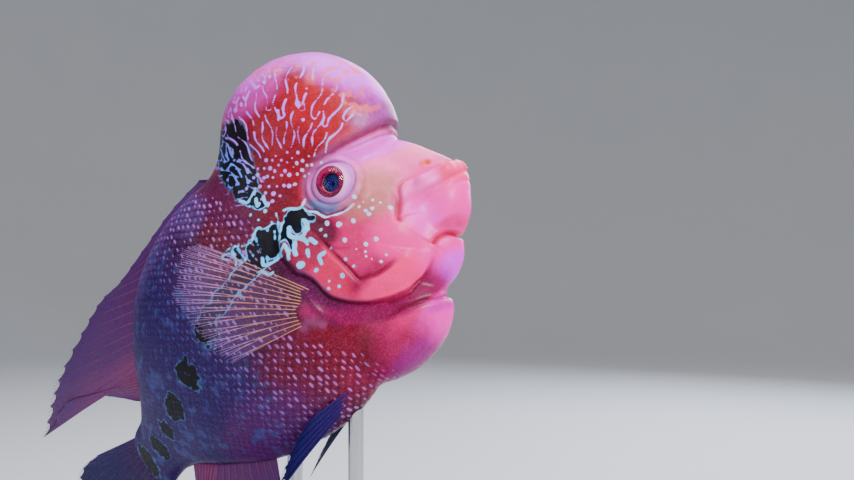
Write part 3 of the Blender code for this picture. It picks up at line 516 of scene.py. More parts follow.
def smooth_line(points, cuts=5):
    """Curve through given points of the side view"""
    p = np.array(points, float)
    p = np.vstack([2 * p[0] - p[1], p, 2 * p[-1] - p[-2]])
    t = (np.arange(cuts) / cuts)[:, None]
    spans = [0.5 * (2 * b + (c - a) * t + (2 * a - 5 * b + 4 * c - d) * t * t
                    + (3 * b - a - 3 * c + d) * t ** 3)
             for a, b, c, d in zip(p[:-3], p[1:-2], p[2:-1], p[3:])]
    return np.vstack(spans + [p[-2:-1]])


def beside(points, x, z, reach):
    """Distance to the curve through points, positive on its left as drawn, and the share of its length"""
    line = smooth_line(points)
    far = np.full(x.shape, 1e3)
    share = np.zeros(x.shape)
    low, high = line.min(0) - reach, line.max(0) + reach
    near = np.where((x > low[0]) & (x < high[0]) & (z > low[1]) & (z < high[1]))[0]
    if len(near) == 0:
        return far, share
    best = np.full(len(near), 1e6)
    px, pz = x[near], z[near]
    lengths = np.linalg.norm(np.diff(line, axis=0), axis=1)
    walked = np.concatenate([[0], np.cumsum(lengths)])
    for i, (a, b) in enumerate(zip(line[:-1], line[1:])):
        run = b - a
        dx, dz = px - a[0], pz - a[1]
        t = np.clip((dx * run[0] + dz * run[1]) / (run @ run), 0, 1)
        d = np.hypot(dx - t * run[0], dz - t * run[1])
        closer = d < np.abs(best) - 1e-9
        side = np.where(run[0] * dz - run[1] * dx >= 0, 1.0, -1.0)
        best = np.where(closer, d * side, best)
        part = (walked[i] + t * lengths[i]) / walked[-1]
        share[near] = np.where(closer, part, share[near])
    far[near] = best
    return far, share


def folds(x, y, z):
    """How far the folded skin stands out from the plain skin, in millimetres"""
    height = np.zeros(x.shape)
    for line, left, right, groove, fade in FOLDS.values():
        reach = 3 * max(left[1], right[1], groove[1])
        d, share = beside(line, x, z, reach)
        weight = np.ones(x.shape)
        if fade[0] > 0:
            weight = weight * ramp(share, 0, fade[0])
        if fade[1] > 0:
            weight = weight * ramp(share, 1, 1 - fade[1])
        side = ramp(d, -0.6, 0.6)
        shoulder = (side * left[0] * np.exp(-np.abs(d) / left[1])
                    + (1 - side) * right[0] * np.exp(-np.abs(d) / right[1]))
        height += weight * (shoulder - groove[0] * np.exp(-(d / groove[1]) ** 2))
    dx, dz = x - EYE_RING[0], z - EYE_RING[1]
    r = np.hypot(dx, dz)
    below_behind = ramp(-(0.55 * dx + 0.83 * dz) / np.maximum(r, 1), -0.2, 0.7)
    height -= np.clip((EYE_OPENING - r) * 1.3, 0, 5.0)
    for radius, width, rise, around in EYE_RIDGES:
        height += rise * np.exp(-((r - radius) / width) ** 2) * (around + (1 - around) * below_behind)
    p = np.stack([x, y, z], -1)
    head = 1 - ramp(-x, 66, 80)
    height += head * rough(p, (0.22, 9.0, 3), (0.10, 3.6, 4))
    nostril = np.hypot(x - NOSTRIL[0], z - NOSTRIL[1])
    height -= 1.1 * np.exp(-(nostril / 0.8) ** 2)
    height += 0.35 * np.exp(-((nostril - 1.9) / 0.8) ** 2)
    return height


def blend(a, b, share):
    """Values that go from a to b as the share at each point goes from 0 to 1"""
    share = share[:, None]
    return a * (1 - share) + b * share


def ground_colour(p):
    """The skin's colour under its marks, with painted shade in creases and under the gill rim, painted
    sheen and a painted highlight
    """
    x, z = p[:, 0], p[:, 2]
    rear = ramp(-x, 84, 122)
    tone = blend(TRUNK_RED, TRUNK_REAR, rear)
    blur = rough(p, (0.10, 7.0, 11), (0.05, 2.6, 12))
    for centre, radii, tilt, colour, strength in SPRAY.values():
        u, v = tilted(x, z, centre, radii, tilt)
        tone = blend(tone, colour, strength * (1 - ramp(np.hypot(u, v) + blur, 0.6, 1.35)))
    for line, start, end, soft, span, colour, strength in BANDS.values():
        d, share = beside(line, x, z, end + 5)
        weight = strength * ramp(d, start - soft, start + soft) * (1 - ramp(d, end - soft, end + soft))
        weight = weight * ramp(share, span[0] - 0.06, span[0] + 0.06)
        weight = weight * (1 - ramp(share, span[1] - 0.06, span[1] + 0.06))
        tone = blend(tone, colour, weight)
    crown = ramp(np.hypot(*tilted(x, z, *CROWN, 0)), 0.72, 0.95) * ramp(z, 23, 28) * ramp(-x, 48, 34)
    blotch = crown * ramp(rough(p, (1.0, 1.7, 13), (0.5, 5.0, 14)), 0.05, 0.6) * 0.8
    tone = blend(tone, CROWN_BLOTCH, blotch)
    speckle = rear * ramp(rough(p, (1.0, 2.4, 15), (0.6, 6.0, 16)), 0.1, 0.8) * 0.7
    return blend(tone, REAR_SPECKLE, speckle)


def ink_distance(p):
    """Distance to the black marks, negative inside them"""
    x, z = p[:, 0], p[:, 2]
    d = np.full(len(p), 60.0)
    for cx, cz, rx, rz in MARKS:
        size = np.hypot((x - cx) / rx, (z - cz) / rz)
        d = join_soft(d, (size - 1) * min(rx, rz), 1.6)
    for line, half in MARK_BARS:
        away, _ = beside(line, x, z, 12)
        d = np.where(np.abs(away) < 100, join_soft(d, np.abs(away) - half, 0.7), d)
    ragged = rough(p, (1.6, 2.8, 21), (1.1, 1.3, 22)) * (0.36 + 0.64 * ramp(-x, 84, 98))
    edge, _ = beside(HUMP_SHADE_EDGE, x, z, 60)
    foot, _ = beside(HUMP_SHADE_FOOT, x, z, 60)
    shade = np.maximum(edge, foot) + rough(p, (1.2, 2.8, 21), (0.8, 1.3, 22))
    return np.minimum(d + ragged, np.where(x > -100, shade, 60.0))


def drawn_distance(x, z, strokes, dots):
    """Distance to the nearest of some lines with a half width and dots with a radius"""
    d = np.full(x.shape, 9.0)
    for cx, cz, radius in dots:
        near = (np.abs(x - cx) < 4) & (np.abs(z - cz) < 4)
        d[near] = np.minimum(d[near], np.hypot(x[near] - cx, z[near] - cz) - radius)
    for line, half in strokes:
        away, _ = beside(line, x, z, 4)
        d = np.minimum(d, np.abs(away) - half)
    return d


def pearl_distance(p):
    """Distance to the pale spots and strokes, negative inside them"""
    x, z = p[:, 0], p[:, 2]
    return drawn_distance(x, z, STROKES, PEARLS) + rough(p, (0.35, 1.6, 31), (0.2, 0.9, 32))


def fan_lines():
    """Lines and dots of the hump's fan: swaying pieces of its rows, some with a hook to the next row"""
    rng = np.random.RandomState(12)
    step = math.radians((FAN_ANGLES[1] - FAN_ANGLES[0]) / FAN_ROWS)
    lines, dots = [], []

    def spot(row, r):
        turn = math.radians(FAN_ANGLES[0]) + step * (row + 0.5)
        return (FAN_CENTRE[0] + r * math.cos(turn), FAN_CENTRE[1] + r * math.sin(turn))

    for row in range(FAN_ROWS):
        r = FAN_REACH[0] + rng.uniform(0, 4) + 9.0 * (row % 2)
        phase = rng.uniform(0, 2 * math.pi)
        while r < FAN_REACH[1]:
            wide = step * r
            if r < FAN_DOTS or rng.uniform() < 0.15:
                dots.append((*spot(row + rng.uniform(-0.2, 0.2), r), rng.uniform(0.45, 0.85)))
                r += rng.uniform(3.2, 4.6)
                continue
            length = rng.uniform(6, 15)
            reach = np.linspace(r, min(r + length, FAN_REACH[1] + 3), 7)
            sway = FAN_SWAY * np.sin(phase + reach / 2.1) / wide
            piece = [spot(row + side, far) for far, side in zip(reach, sway)]
            if r > FAN_DOTS + 4 and rng.uniform() < 0.35:
                hook = rng.choice((-1, 1)) * rng.uniform(0.45, 0.8)
                start = row + sway[0]
                piece = [spot(start + hook, r + 2.6), spot(start + 0.7 * hook, r - 0.6)] + piece
            lines.append((piece, FAN_LINE_HALF))
            r += length + rng.uniform(1.8, 3.2)
    return lines, dots


def hump_line_distance(p):
    """Distance to the lines and dots on the side of the hump, negative inside them"""
    return drawn_distance(p[:, 0], p[:, 2], *fan_lines()) + rough(p, (0.20, 1.4, 33), (0.22, 3.2, 34))


def surface_net(field, xs, ys, zs):
    """Quads around a field's zero surface, one vertex in each cell that it crosses"""
    f = field(xs[:, None, None], ys[None, :, None], zs[None, None, :])
    f = np.broadcast_to(f, (len(xs), len(ys), len(zs)))
    inside = f < 0
    count = sum(inside[i:len(xs) - 1 + i, j:len(ys) - 1 + j, k:len(zs) - 1 + k].astype(np.int8)
                for i, j, k in itertools.product((0, 1), repeat=3))
    cells = np.argwhere((count > 0) & (count < 8))
    number = np.full(count.shape, -1)
    number[tuple(cells.T)] = np.arange(len(cells))
    axes = (xs, ys, zs)
    total = np.zeros((len(cells), 3))
    hits = np.zeros(len(cells))
    for axis in range(3):
        others = [k for k in range(3) if k != axis]
        for shift in itertools.product((0, 1), repeat=2):
            start = cells.copy()
            start[:, others[0]] += shift[0]
            start[:, others[1]] += shift[1]
            end = start.copy()
            end[:, axis] += 1
            a, b = f[tuple(start.T)], f[tuple(end.T)]
            crossed = (a < 0) != (b < 0)
            t = np.where(crossed, a / np.where(crossed, a - b, 1), 0)
            p = np.stack([axes[k][start[:, k]] for k in range(3)], -1)
            p[:, axis] += t * (axes[axis][end[:, axis]] - axes[axis][start[:, axis]])
            total += p * crossed[:, None]
            hits += crossed
    points = total / hits[:, None]
    quads = []
    for axis in range(3):
        b, c = (axis + 1) % 3, (axis + 2) % 3
        low = [slice(None)] * 3
        high = [slice(None)] * 3
        low[axis], high[axis] = slice(0, -1), slice(1, None)
        changed = np.argwhere(inside[tuple(low)] != inside[tuple(high)])
        changed = changed[(changed[:, b] > 0) & (changed[:, c] > 0)
                          & (changed[:, b] < len(axes[b]) - 1) & (changed[:, c] < len(axes[c]) - 1)]
        ring = []
        for db, dc in ((-1, -1), (0, -1), (0, 0), (-1, 0)):
            cell = changed.copy()
            cell[:, b] += db
            cell[:, c] += dc
            ring.append(number[tuple(cell.T)])
        ring = np.stack(ring, -1)
        outward = inside[tuple(changed.T)]
        quads.append(np.where(outward[:, None], ring, ring[:, ::-1]))
    return points, np.vstack(quads), cells


def mirrored(points, quads, on_seam):
    """Adds the other half of a one-sided mesh, sharing the vertices of the middle plane"""
    points = points.copy()
    points[on_seam, 1] = 0.0
    copy_of = np.where(on_seam, np.arange(len(points)), -1)
    twins = np.where(~on_seam)[0]
    copy_of[twins] = len(points) + np.arange(len(twins))
    other = points[twins] * (1, -1, 1)
    return np.vstack([points, other]), np.vstack([quads, copy_of[quads][:, ::-1]])


def mesh_object(name, points, faces, attributes=None, uv=None):
    """Mesh object of points in the straight fish's millimetres, placed in the pose"""
    mesh = bpy.data.meshes.new(name)
    faces = np.asarray(faces)
    sides = faces.shape[1]
    mesh.vertices.add(len(points))
    mesh.vertices.foreach_set("co", place(points).ravel())
    mesh.loops.add(faces.size)
    mesh.loops.foreach_set("vertex_index", faces.ravel())
    mesh.polygons.add(len(faces))
    mesh.polygons.foreach_set("loop_start", np.arange(len(faces)) * sides)
    mesh.update(calc_edges=True)
    for key, values in (attributes or {}).items():
        values = np.asarray(values, float)
        if values.ndim == 2:
            layer = mesh.attributes.new(key, "FLOAT_COLOR", "POINT")
            layer.data.foreach_set("color", np.column_stack([values, np.ones(len(values))]).ravel())
        else:
            layer = mesh.attributes.new(key, "FLOAT", "POINT")
            layer.data.foreach_set("value", values)
    if uv is not None:
        layer = mesh.uv_layers.new(name="OFBake")
        layer.data.foreach_set("uv", uv[faces.ravel()].ravel())
    mesh.shade_smooth()
    mesh.validate()
    made = bpy.data.objects.new(name, mesh)
    bpy.context.scene.collection.objects.link(made)
    return made


def grid_quads(index):
    """Quads between the points of a grid"""
    return np.stack([index[:-1, :-1], index[1:, :-1], index[1:, 1:], index[:-1, 1:]], -1).reshape(-1, 4)


def ring_quads(index):
    """Quads between rings of points"""
    nxt = np.roll(index, -1, axis=1)
    return np.stack([index[:-1], nxt[:-1], nxt[1:], index[1:]], -1).reshape(-1, 4)


def ring_cap(hub, ring):
    """Quads from one point to a ring of an even number of points"""
    k = np.arange(0, len(ring), 2)
    return np.stack([np.full(len(k), hub), ring[k], ring[k + 1], ring[(k + 2) % len(ring)]], -1)


def sheet_faces(edge):
    """Faces of a thin closed sheet on a grid, whose second layer of points leaves out the edge"""
    index = np.arange(edge.size).reshape(edge.shape)
    inner = np.where(~edge.ravel())[0]
    under = index.ravel().copy()
    under[inner] = edge.size + np.arange(len(inner))
    upper = grid_quads(index)
    return np.vstack([upper, under[upper][:, ::-1]]), inner


def finish_piece(piece, material, slot, *nodes):
    """Gives a piece its material and the body it rides on, and hides the solids it stands for; the slot is
    not used
    """
    piece.data.materials.append(material)
    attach(piece, "root")
    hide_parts(*nodes)


def skin_mesh():
    """The plain skin as a mesh of both sides, before its folds"""
    head = np.arange(4.0, TAIL_BEGINS, -CELL)
    tail = [TAIL_BEGINS]
    while tail[-1] > -209:
        share = ramp(np.array(-tail[-1]), -TAIL_BEGINS, 110.0)
        tail.append(tail[-1] - CELL - (CELL_TAIL - CELL) * float(share))
    xs = np.concatenate([head, tail])[::-1]
    ys = np.arange(-CELL / 2, 27, CELL)
    zs = np.arange(-63, 85, CELL)
    points, quads, cells = surface_net(skin_field, xs, ys, zs)
    points = snap(skin_field, points, 2)
    return mirrored(points, quads, cells[:, 1] == 0)


def neighbours(quads, count):
    """Pairs of vertices that share a quad, both ways"""
    pairs = np.vstack([quads[:, [0, 1]], quads[:, [1, 2]], quads[:, [2, 3]], quads[:, [3, 0]],
                       quads[:, [0, 2]], quads[:, [1, 3]]])
    pairs = np.vstack([pairs, pairs[:, ::-1]])
    keys = np.unique(pairs[:, 0].astype(np.int64) * count + pairs[:, 1])
    return keys // count, keys % count


def worm_lines(p, normal, quads):
    """Wandering pale lines that gather behind the eye; above 0 on a line"""
    zone = (p[:, 0] > -84) & (p[:, 2] > 6)
    kept = np.where(zone)[0]
    number = np.full(len(p), -1)
    number[kept] = np.arange(len(kept))
    local = number[quads]
    local = local[(local >= 0).all(1)]
    q, n = p[kept], normal[kept]
    count = len(kept)
    i, j = neighbours(local, count)
    centre = np.stack([np.full(count, -51.0), 20.0 * np.sign(q[:, 1]), np.full(count, 6.0)], -1)
    lie = q - centre
    lie[:, 1] *= ramp(q[:, 2], 60, 76) * 0.3
    lie += 0.35 * np.linalg.norm(lie, axis=1, keepdims=True) * np.stack(
        [value_noise(q, 9.0, 41), value_noise(q, 9.0, 42), value_noise(q, 9.0, 43)], -1)
    lie = unit(lie - (lie * n).sum(1, keepdims=True) * n)
    step = q[j] - q[i]
    length = np.linalg.norm(step, axis=1) + 1e-9
    along = np.abs((step * lie[i]).sum(1)) / length
    near_eye = np.linalg.norm(q - centre, axis=1)
    drawn = 0.25 + 0.75 * ramp(near_eye, 14, 26)
    weight = (0.12 + 1.88 * drawn[i] * along ** 4) * np.exp(-(length / (1.3 * CELL)) ** 2)
    total = np.bincount(i, weight, count) + 1.0

    def blur(u, times):
        for _ in range(times):
            u = (u + np.bincount(i, weight * u[j], count)) / total
        return u

    fine = max(1, round(3 * (0.5 / CELL) ** 2))
    broad = max(4, round(18 * (0.5 / CELL) ** 2))
    bias = -0.56 - 0.10 * (1 - ramp(near_eye, 14, 28))
    u = np.random.RandomState(7).normal(0, 0.4, count)
    for _ in range(70):
        sharp = blur(u, fine)
        u = np.tanh(9.0 * (sharp - blur(sharp, broad)) + bias)
    field = np.full(len(p), -1.0)
    field[kept] = blur(u, 1)
    return field


class Graph:
    """A material's nodes, made in short calls"""

    def __init__(self, name):
        self.material = bpy.data.materials.new(name)
        self.material.use_nodes = True
        self.tree = self.material.node_tree
        self.shader = self.tree.nodes["Principled BSDF"]

    def put(self, socket, value):
        if isinstance(value, bpy.types.NodeSocket):
            self.tree.links.new(value, socket)
        elif hasattr(socket.default_value, "__len__") and len(socket.default_value) == 4:
            socket.default_value = (*value[:3], 1.0)
        else:
            socket.default_value = value

    def node(self, kind, **settings):
        made = self.tree.nodes.new(kind)
        for key, value in settings.items():
            setattr(made, key, value)
        return made

    def attribute(self, name, colour=False):
        made = self.node("ShaderNodeAttribute", attribute_name=name)
        return made.outputs["Color" if colour else "Fac"]

    def place(self):
        return self.node("ShaderNodeTexCoord").outputs["Object"]

    def noise(self, scale, detail=2.0, stretch=None):
        made = self.node("ShaderNodeTexNoise")
        made.inputs["Scale"].default_value = scale
        made.inputs["Detail"].default_value = detail
        spot = self.place()
        if stretch:
            bend = self.node("ShaderNodeMapping")
            self.put(bend.inputs["Vector"], spot)
            bend.inputs["Scale"].default_value = stretch
            spot = bend.outputs["Vector"]
        self.put(made.inputs["Vector"], spot)
        return made.outputs["Fac"]

    def math(self, operation, a, b=0.0):
        made = self.node("ShaderNodeMath", operation=operation)
        self.put(made.inputs[0], a)
        self.put(made.inputs[1], b)
        return made.outputs[0]

    def step(self, value, a, b, low=0.0, high=1.0):
        made = self.node("ShaderNodeMapRange", interpolation_type="SMOOTHSTEP")
        for key, v in zip(("Value", "From Min", "From Max", "To Min", "To Max"), (value, a, b, low, high)):
            self.put(made.inputs[key], v)
        return made.outputs[0]

    def mix(self, share, a, b, blend="MIX"):
        made = self.node("ShaderNodeMix", data_type="RGBA", blend_type=blend)
        self.put(made.inputs[0], share)
        self.put(made.inputs[6], a)
        self.put(made.inputs[7], b)
        return made.outputs[2]

    def bump(self, height, strength, distance, under=None):
        made = self.node("ShaderNodeBump")
        made.inputs["Strength"].default_value = strength
        made.inputs["Distance"].default_value = distance
        self.put(made.inputs["Height"], height)
        if under is not None:
            self.put(made.inputs["Normal"], under)
        return made.outputs["Normal"]

    def set(self, **values):
        for key, value in values.items():
            self.put(self.shader.inputs[key.replace("_", " ")], value)
        return self.material


def hide_material(name, grain, scales=False):
    """Wet skin or scales with their marks; grain is the size of the fine relief in metres"""
    g = Graph(name)
    tone = g.attribute("tone", colour=True)
    mottle = g.noise(420.0, 4.0)
    fine = g.noise(1500.0, 3.0)
    tone = g.mix(g.step(mottle, 0.3, 0.7, 0.0, 0.22), tone, g.mix(1.0, tone, tone, "MULTIPLY"))
    tone = g.mix(g.step(fine, 0.4, 0.75, 0.0, 0.06), tone, (0.9, 0.3, 0.5))
    ink = g.attribute("ink")
    black = g.step(ink, 0.22, -0.22)
    rim_width = g.step(g.noise(520.0, 1.0), 0.35, 0.65, 0.12, 0.50)
    from_edge = g.math("ABSOLUTE", ink)
    rim = g.math("SUBTRACT", 1.0, g.step(g.math("SUBTRACT", from_edge, rim_width), -0.12, 0.12))
    rim = g.math("MULTIPLY", rim, g.attribute("bright"))
    if scales:
        # painted shade toward each scale's root, where the scale ahead covers it, and a darker rim
        tone = g.mix(g.step(g.attribute("shade"), 0.75, 0.3, 0.0, 0.7), tone, (0.012, 0.002, 0.012))
        across = g.attribute("across")
        along = g.math("MULTIPLY", g.math("SUBTRACT", g.attribute("along"), 0.60), 1.9)
        across = g.math("MULTIPLY", across, 0.72)
        away = g.math("ADD", g.math("MULTIPLY", across, across), g.math("MULTIPLY", along, along))
        away = g.math("SQRT", away)
        spot = g.math("MULTIPLY", g.attribute("spot"), 0.21)
        pearl = g.step(g.math("SUBTRACT", away, spot), 0.07, -0.07)
        pearl = g.math("MULTIPLY", pearl, g.attribute("glow"))
        worm = None
        stroke = g.step(g.attribute("pearl"), 0.16, -0.16)
    else:
        worm = g.step(g.attribute("worm"), 0.34, 0.60)
        worm = g.math("MULTIPLY", worm, g.attribute("worm_share"))
        pearl = g.step(g.attribute("pearl"), 0.16, -0.16)
    colour = g.mix(black, tone, INK)
    if worm is not None:
        colour = g.mix(worm, colour, g.attribute("worm_tone", colour=True))
    colour = g.mix(rim, colour, g.attribute("rim_tone", colour=True))
    colour = g.mix(pearl, colour, g.attribute("pearl_tone", colour=True))
    if scales:
        colour = g.mix(stroke, colour, STROKE)
    relief = pearl if worm is None else g.math("ADD", pearl, g.math("MULTIPLY", worm, 0.6))
    normal = g.bump(g.noise(1.0 / grain, 4.0), 0.22, 0.0002)
    normal = g.bump(relief, 0.4, 0.0002, normal)
    g.shader.inputs["Subsurface Weight"].default_value = 0.10
    g.shader.inputs["Subsurface Scale"].default_value = 0.0012
    g.shader.inputs["Subsurface Radius"].default_value = (1.0, 0.25, 0.2)
    return g.set(Base_Color=colour, Roughness=g.step(mottle, 0.3, 0.7, 0.30, 0.42), Normal=normal,
                 Specular_IOR_Level=0.13, Coat_Weight=0.04, Coat_Roughness=0.12)


def mark_attributes(p):
    """Everything that the skin and the scales carry: ground colour with its painted shade, sheen and
    highlight, marks and their colours
    """
    x, z = p[:, 0], p[:, 2]
    front = 1 - ramp(-x, 84, 112)
    on_hump = ramp(z, 22, 40)
    by_eye = 0.7 * (1 - ramp(np.hypot(x - EYE_RING[0], z - EYE_RING[1]), 12, 21))
    return {
        "tone": ground_colour(p),
        "ink": ink_distance(p),
        "bright": (0.75 + 0.25 * front) * (1 - 0.85 * on_hump),
        "rim_tone": blend(RIM_REAR, RIM_HEAD, front),
        "worm_tone": blend(blend(WORM, WORM_REAR, ramp(-x, 58, 66) * on_hump), PEARL, by_eye),
        "pearl_tone": blend(STROKE, PEARL, ramp(x, -60, -50)),
    }


def make_skin(material):
    """One skin over head, trunk and tail, in place of the solids of flesh"""
    plain, quads = skin_mesh()
    normal = unit(slope_of(skin_field, plain))
    height = folds(plain[:, 0], np.abs(plain[:, 1]), plain[:, 2])
    worm = worm_lines(plain, normal, quads)
    x, z = plain[:, 0], plain[:, 2]
    tones = mark_attributes(plain)
    # painted shade in the grooves and hollows where the folded skin sinks
    tones["tone"] = blend(tones["tone"], tones["tone"] * CAVITY_SHADE, ramp(-height, 0.5, 2.2))
    crown = np.hypot(*tilted(x, z, *WORM_OVAL, 0))
    behind, _ = beside(HUMP_SHADE_FOOT, x, z, 60)
    drawn = ramp(z, 63, 57) * ramp(-x, 80, 74) * ramp(-x, 13, 18)
    rear_shade = ramp(-x, 55, 62) * ramp(z, 24, 32)
    tones["worm"] = np.maximum(worm - 0.45 * rear_shade - 2.5 * drawn * (1 - rear_shade),
                               0.47 - 0.9 * hump_line_distance(plain))
    tones["worm_share"] = (1 - ramp(crown, 0.72, 1.02) * 0.85) * ramp(z, 20, 24) * ramp(-x, 14, 26)
    tones["worm_share"] += drawn * ramp(z, 17, 19) * (1 - tones["worm_share"])
    tones["worm_share"] *= 1 - ramp(np.where(x > -100, behind, 0.0), 0.0, 2.5)
    tones["pearl"] = pearl_distance(plain)
    skin = mesh_object("skin", plain + normal * height[:, None], quads, tones)
    finish_piece(skin, material, "red_skin", "head", "nuchal_hump", "upper_jaw", "lower_jaw",
                 "breast", "gill_cover_left", "gill_cover_right", "trunk", "tail")


def outline(x, angles=150):
    """Half outlines of the skin at each x, from the back's midline to the belly's, and their length"""
    middle = (smooth_curve(x, STATIONS[:, 0], STATIONS[:, 1])
              + smooth_curve(x, STATIONS[:, 0], STATIONS[:, 2])) / 2
    turn = np.linspace(math.pi / 2, -math.pi / 2, angles)
    xs = np.repeat(x[:, None], angles, 1)
    low, high = np.zeros(xs.shape), np.full(xs.shape, 90.0)
    for _ in range(18):
        r = (low + high) / 2
        inside = skin_field(xs, r * np.cos(turn), middle[:, None] + r * np.sin(turn)) < 0
        low, high = np.where(inside, r, low), np.where(inside, high, r)
    p = np.stack([xs, low * np.cos(turn), middle[:, None] + low * np.sin(turn)], -1)
    steps = np.linalg.norm(np.diff(p, axis=1), axis=-1)
    return p, np.hstack([np.zeros((len(x), 1)), np.cumsum(steps, axis=1)])


def scale_roots(front, back, spacing, wanted):
    """Places of the scales on the right side in staggered columns, with their size and map place"""
    roots = []
    x, column = front, 0
    while x > back:
        p, walked = outline(np.array([x]))
        p, walked = p[0], walked[0]
        size = max(0.42, math.sqrt(walked[-1] / DEEP_HALF_GIRTH))
        middle = np.interp(0.0, -p[:, 2], walked)
        first = math.ceil(-middle / (spacing * size))
        for k in range(first, first + 200):
            s = middle + (k + 0.5 * (column % 2)) * spacing * size
            if s > walked[-1] - 0.3 or s < 0.3:
                continue
            spot = [np.interp(s, walked, p[:, axis]) for axis in range(3)]
            roots.append((*spot, size, s / DEEP_HALF_GIRTH))
        x -= spacing * size / 2
        column += 1
    roots = np.array(roots)
    inside = wanted(roots[:, 0], roots[:, 2])
    return np.column_stack([roots, inside])[inside > 0]


def trunk_zone(x, z):
    """How far inside the trunk's scales a place lies, 0 or less where there are none"""
    d, _ = beside(SCALE_FRONT, x, z, 200)
    foot = np.hypot(*tilted(x, z, BARE_FOOT, (5.0, 7.0), 0))
    return np.where(foot > 1, -d + 2.0 * (d < 0), 0.0)


def breast_zone(x, z):
    """How far inside the breast's scales a place lies, 0 or less where there are none"""
    d, _ = beside(SCALE_FRONT, x, z, 200)
    top, _ = beside(BREAST_TOP, x, z, 200)
    foot = np.hypot(*tilted(x, z, BARE_FOOT, (6.0, 8.0), 0))
    return np.where((d > -0.5) & (foot > 1), top, 0.0)


def make_scales(name, side, roots, kind, material, *nodes):
    """Thin overlapping plates that lie back along the skin, each a closed solid"""
    spacing, grid, lift, shade, spots = kind
    count = len(roots)
    a, v = np.meshgrid(*(np.linspace(low, 1, steps) for low, steps in zip((-1, 0), grid)), indexing="ij")
    rng = np.random.RandomState(5 + len(name) + count)
    centre = roots[:, :3] * (1, side, 1)
    normal = unit(slope_of(skin_field, centre))
    back = np.tile([-1.0, 0.0, 0.0], (count, 1))
    back = unit(back - (back * normal).sum(1, keepdims=True) * normal)
    aside = np.cross(normal, back)
    size = roots[:, 3] * rng.uniform(0.94, 1.06, count)
    twist = rng.uniform(-0.10, 0.10, count)[:, None]
    back, aside = (back * np.cos(twist) + aside * np.sin(twist),
                   aside * np.cos(twist) - back * np.sin(twist))
    rounding = np.sqrt(np.clip(1 - (np.clip(v - 0.45, 0, 1) / 0.56) ** 2.2, 0, 1))
    width = (0.62 + 0.38 * np.clip(v / 0.45, 0, 1)) * rounding
    flat_a = (a * width).ravel() * spacing * 0.56
    flat_v = ((v - 0.2) * 1.30).ravel() * spacing
    rise = (lift * (-0.9 + 1.9 * v) + 0.10 * spacing / 4 * (1 - a * a) * np.sin(math.pi * v)).ravel()
    p = (centre[:, None] + back[:, None] * (flat_v * size[:, None])[..., None]
         + aside[:, None] * (flat_a * size[:, None])[..., None])
    p = snap(skin_field, p.reshape(-1, 3), 2)
    out = unit(slope_of(skin_field, p))
    emerged = ramp(roots[:, 5], 0.0, 5.0)[:, None]
    tips = (rng.uniform(0.85, 1.2, (count, 1)) * rise * (0.4 + 0.6 * emerged) - 0.22 * (1 - emerged))
    tips = tips.reshape(-1, 1)
    top = (p + out * tips).reshape(count, -1, 3)
    one, inner = sheet_faces((np.abs(a) > 0.999) | (v < 0.001) | (v > 0.999))
    thick = 0.16 * spacing / 4
    bottom = top[:, inner] - out.reshape(count, -1, 3)[:, inner] * thick
    points = np.concatenate([top, bottom], 1).reshape(-1, 3)
    per_scale = points.shape[0] // count
    faces = (one[None] + (np.arange(count) * per_scale)[:, None, None]).reshape(-1, 4)
    marks = mark_attributes(points)
    each = np.concatenate([np.arange(len(flat_a)), inner])
    rear = ramp(-roots[:, 0], 96, 136)
    spot = rng.uniform(0.3, 1.3, count) * (rng.uniform(0, 1, count) > 0.15) * (1 - 0.35 * rear) * spots
    shift = rng.normal(0, 0.07, (2, count, 1))
    marks["across"] = (flat_a[each] / spacing + shift[0]).ravel()
    marks["along"] = (flat_v[each] / spacing + shift[1]).ravel()
    marks["spot"] = np.repeat(spot, per_scale)
    marks["glow"] = np.repeat(rng.uniform(0.5, 0.95, count) * (1 - 0.6 * rear), per_scale)
    # shade: painted shade toward the root, under the scale ahead, and a darker rim
    rim = np.maximum(np.abs(a), np.clip((v - 0.4) / 0.6, 0, 1)).ravel()[each] ** 3
    marks["shade"] = np.tile(1 - np.maximum(1 - v.ravel()[each], 0.72 * rim) * shade, count)
    marks["pearl"] = pearl_distance(points)
    marks["pearl_tone"] = blend(PEARL_SCALE, PEARL_REAR, ramp(-points[:, 0], 96, 130))
    home_u = 0.02 + 0.96 * (roots[:, 0] + BAKE_BEHIND) / BAKE_LENGTH
    home_v = 0.01 + 0.42 * roots[:, 4] + (0.5 if side > 0 else 0.0)
    u = home_u[:, None] + BAKE_PATCH * (2 * v.ravel()[each] - 1)[None]
    w = home_v[:, None] + BAKE_PATCH * a.ravel()[each][None]
    scales = mesh_object(name, points, faces, marks, np.stack([u.ravel(), w.ravel()], -1))
    on_rim = np.ones(per_scale, bool)
    on_rim[inner] = False
    on_rim[a.size:] = False
    mesh = scales.data
    ends = np.empty(len(mesh.edges) * 2, np.int32)
    mesh.edges.foreach_get("vertices", ends)
    creased = np.tile(on_rim, count)[ends.reshape(-1, 2)].all(axis=1)
    mesh.attributes.new("sharp_edge", "BOOLEAN", "EDGE").data.foreach_set("value", creased)
    finish_piece(scales, material, "red_skin", *nodes)


def fin_points(rays, side, ripple, number, v):
    """Points of a fin at a place between its rays, counted from 0, and a share v of their length"""
    knots = np.arange(len(rays), dtype=float)
    table = np.array(rays, float)
    root, tip = (np.stack([smooth_curve(number, knots, table[:, end, k]) for k in range(3)], -1)
                 for end in (0, 1))
    p = root + (tip - root) * v[..., None]
    p[..., 1] += ripple * v * smooth_curve(number, knots, np.sin(1.9 * knots))
    return p * (1, side, 1)


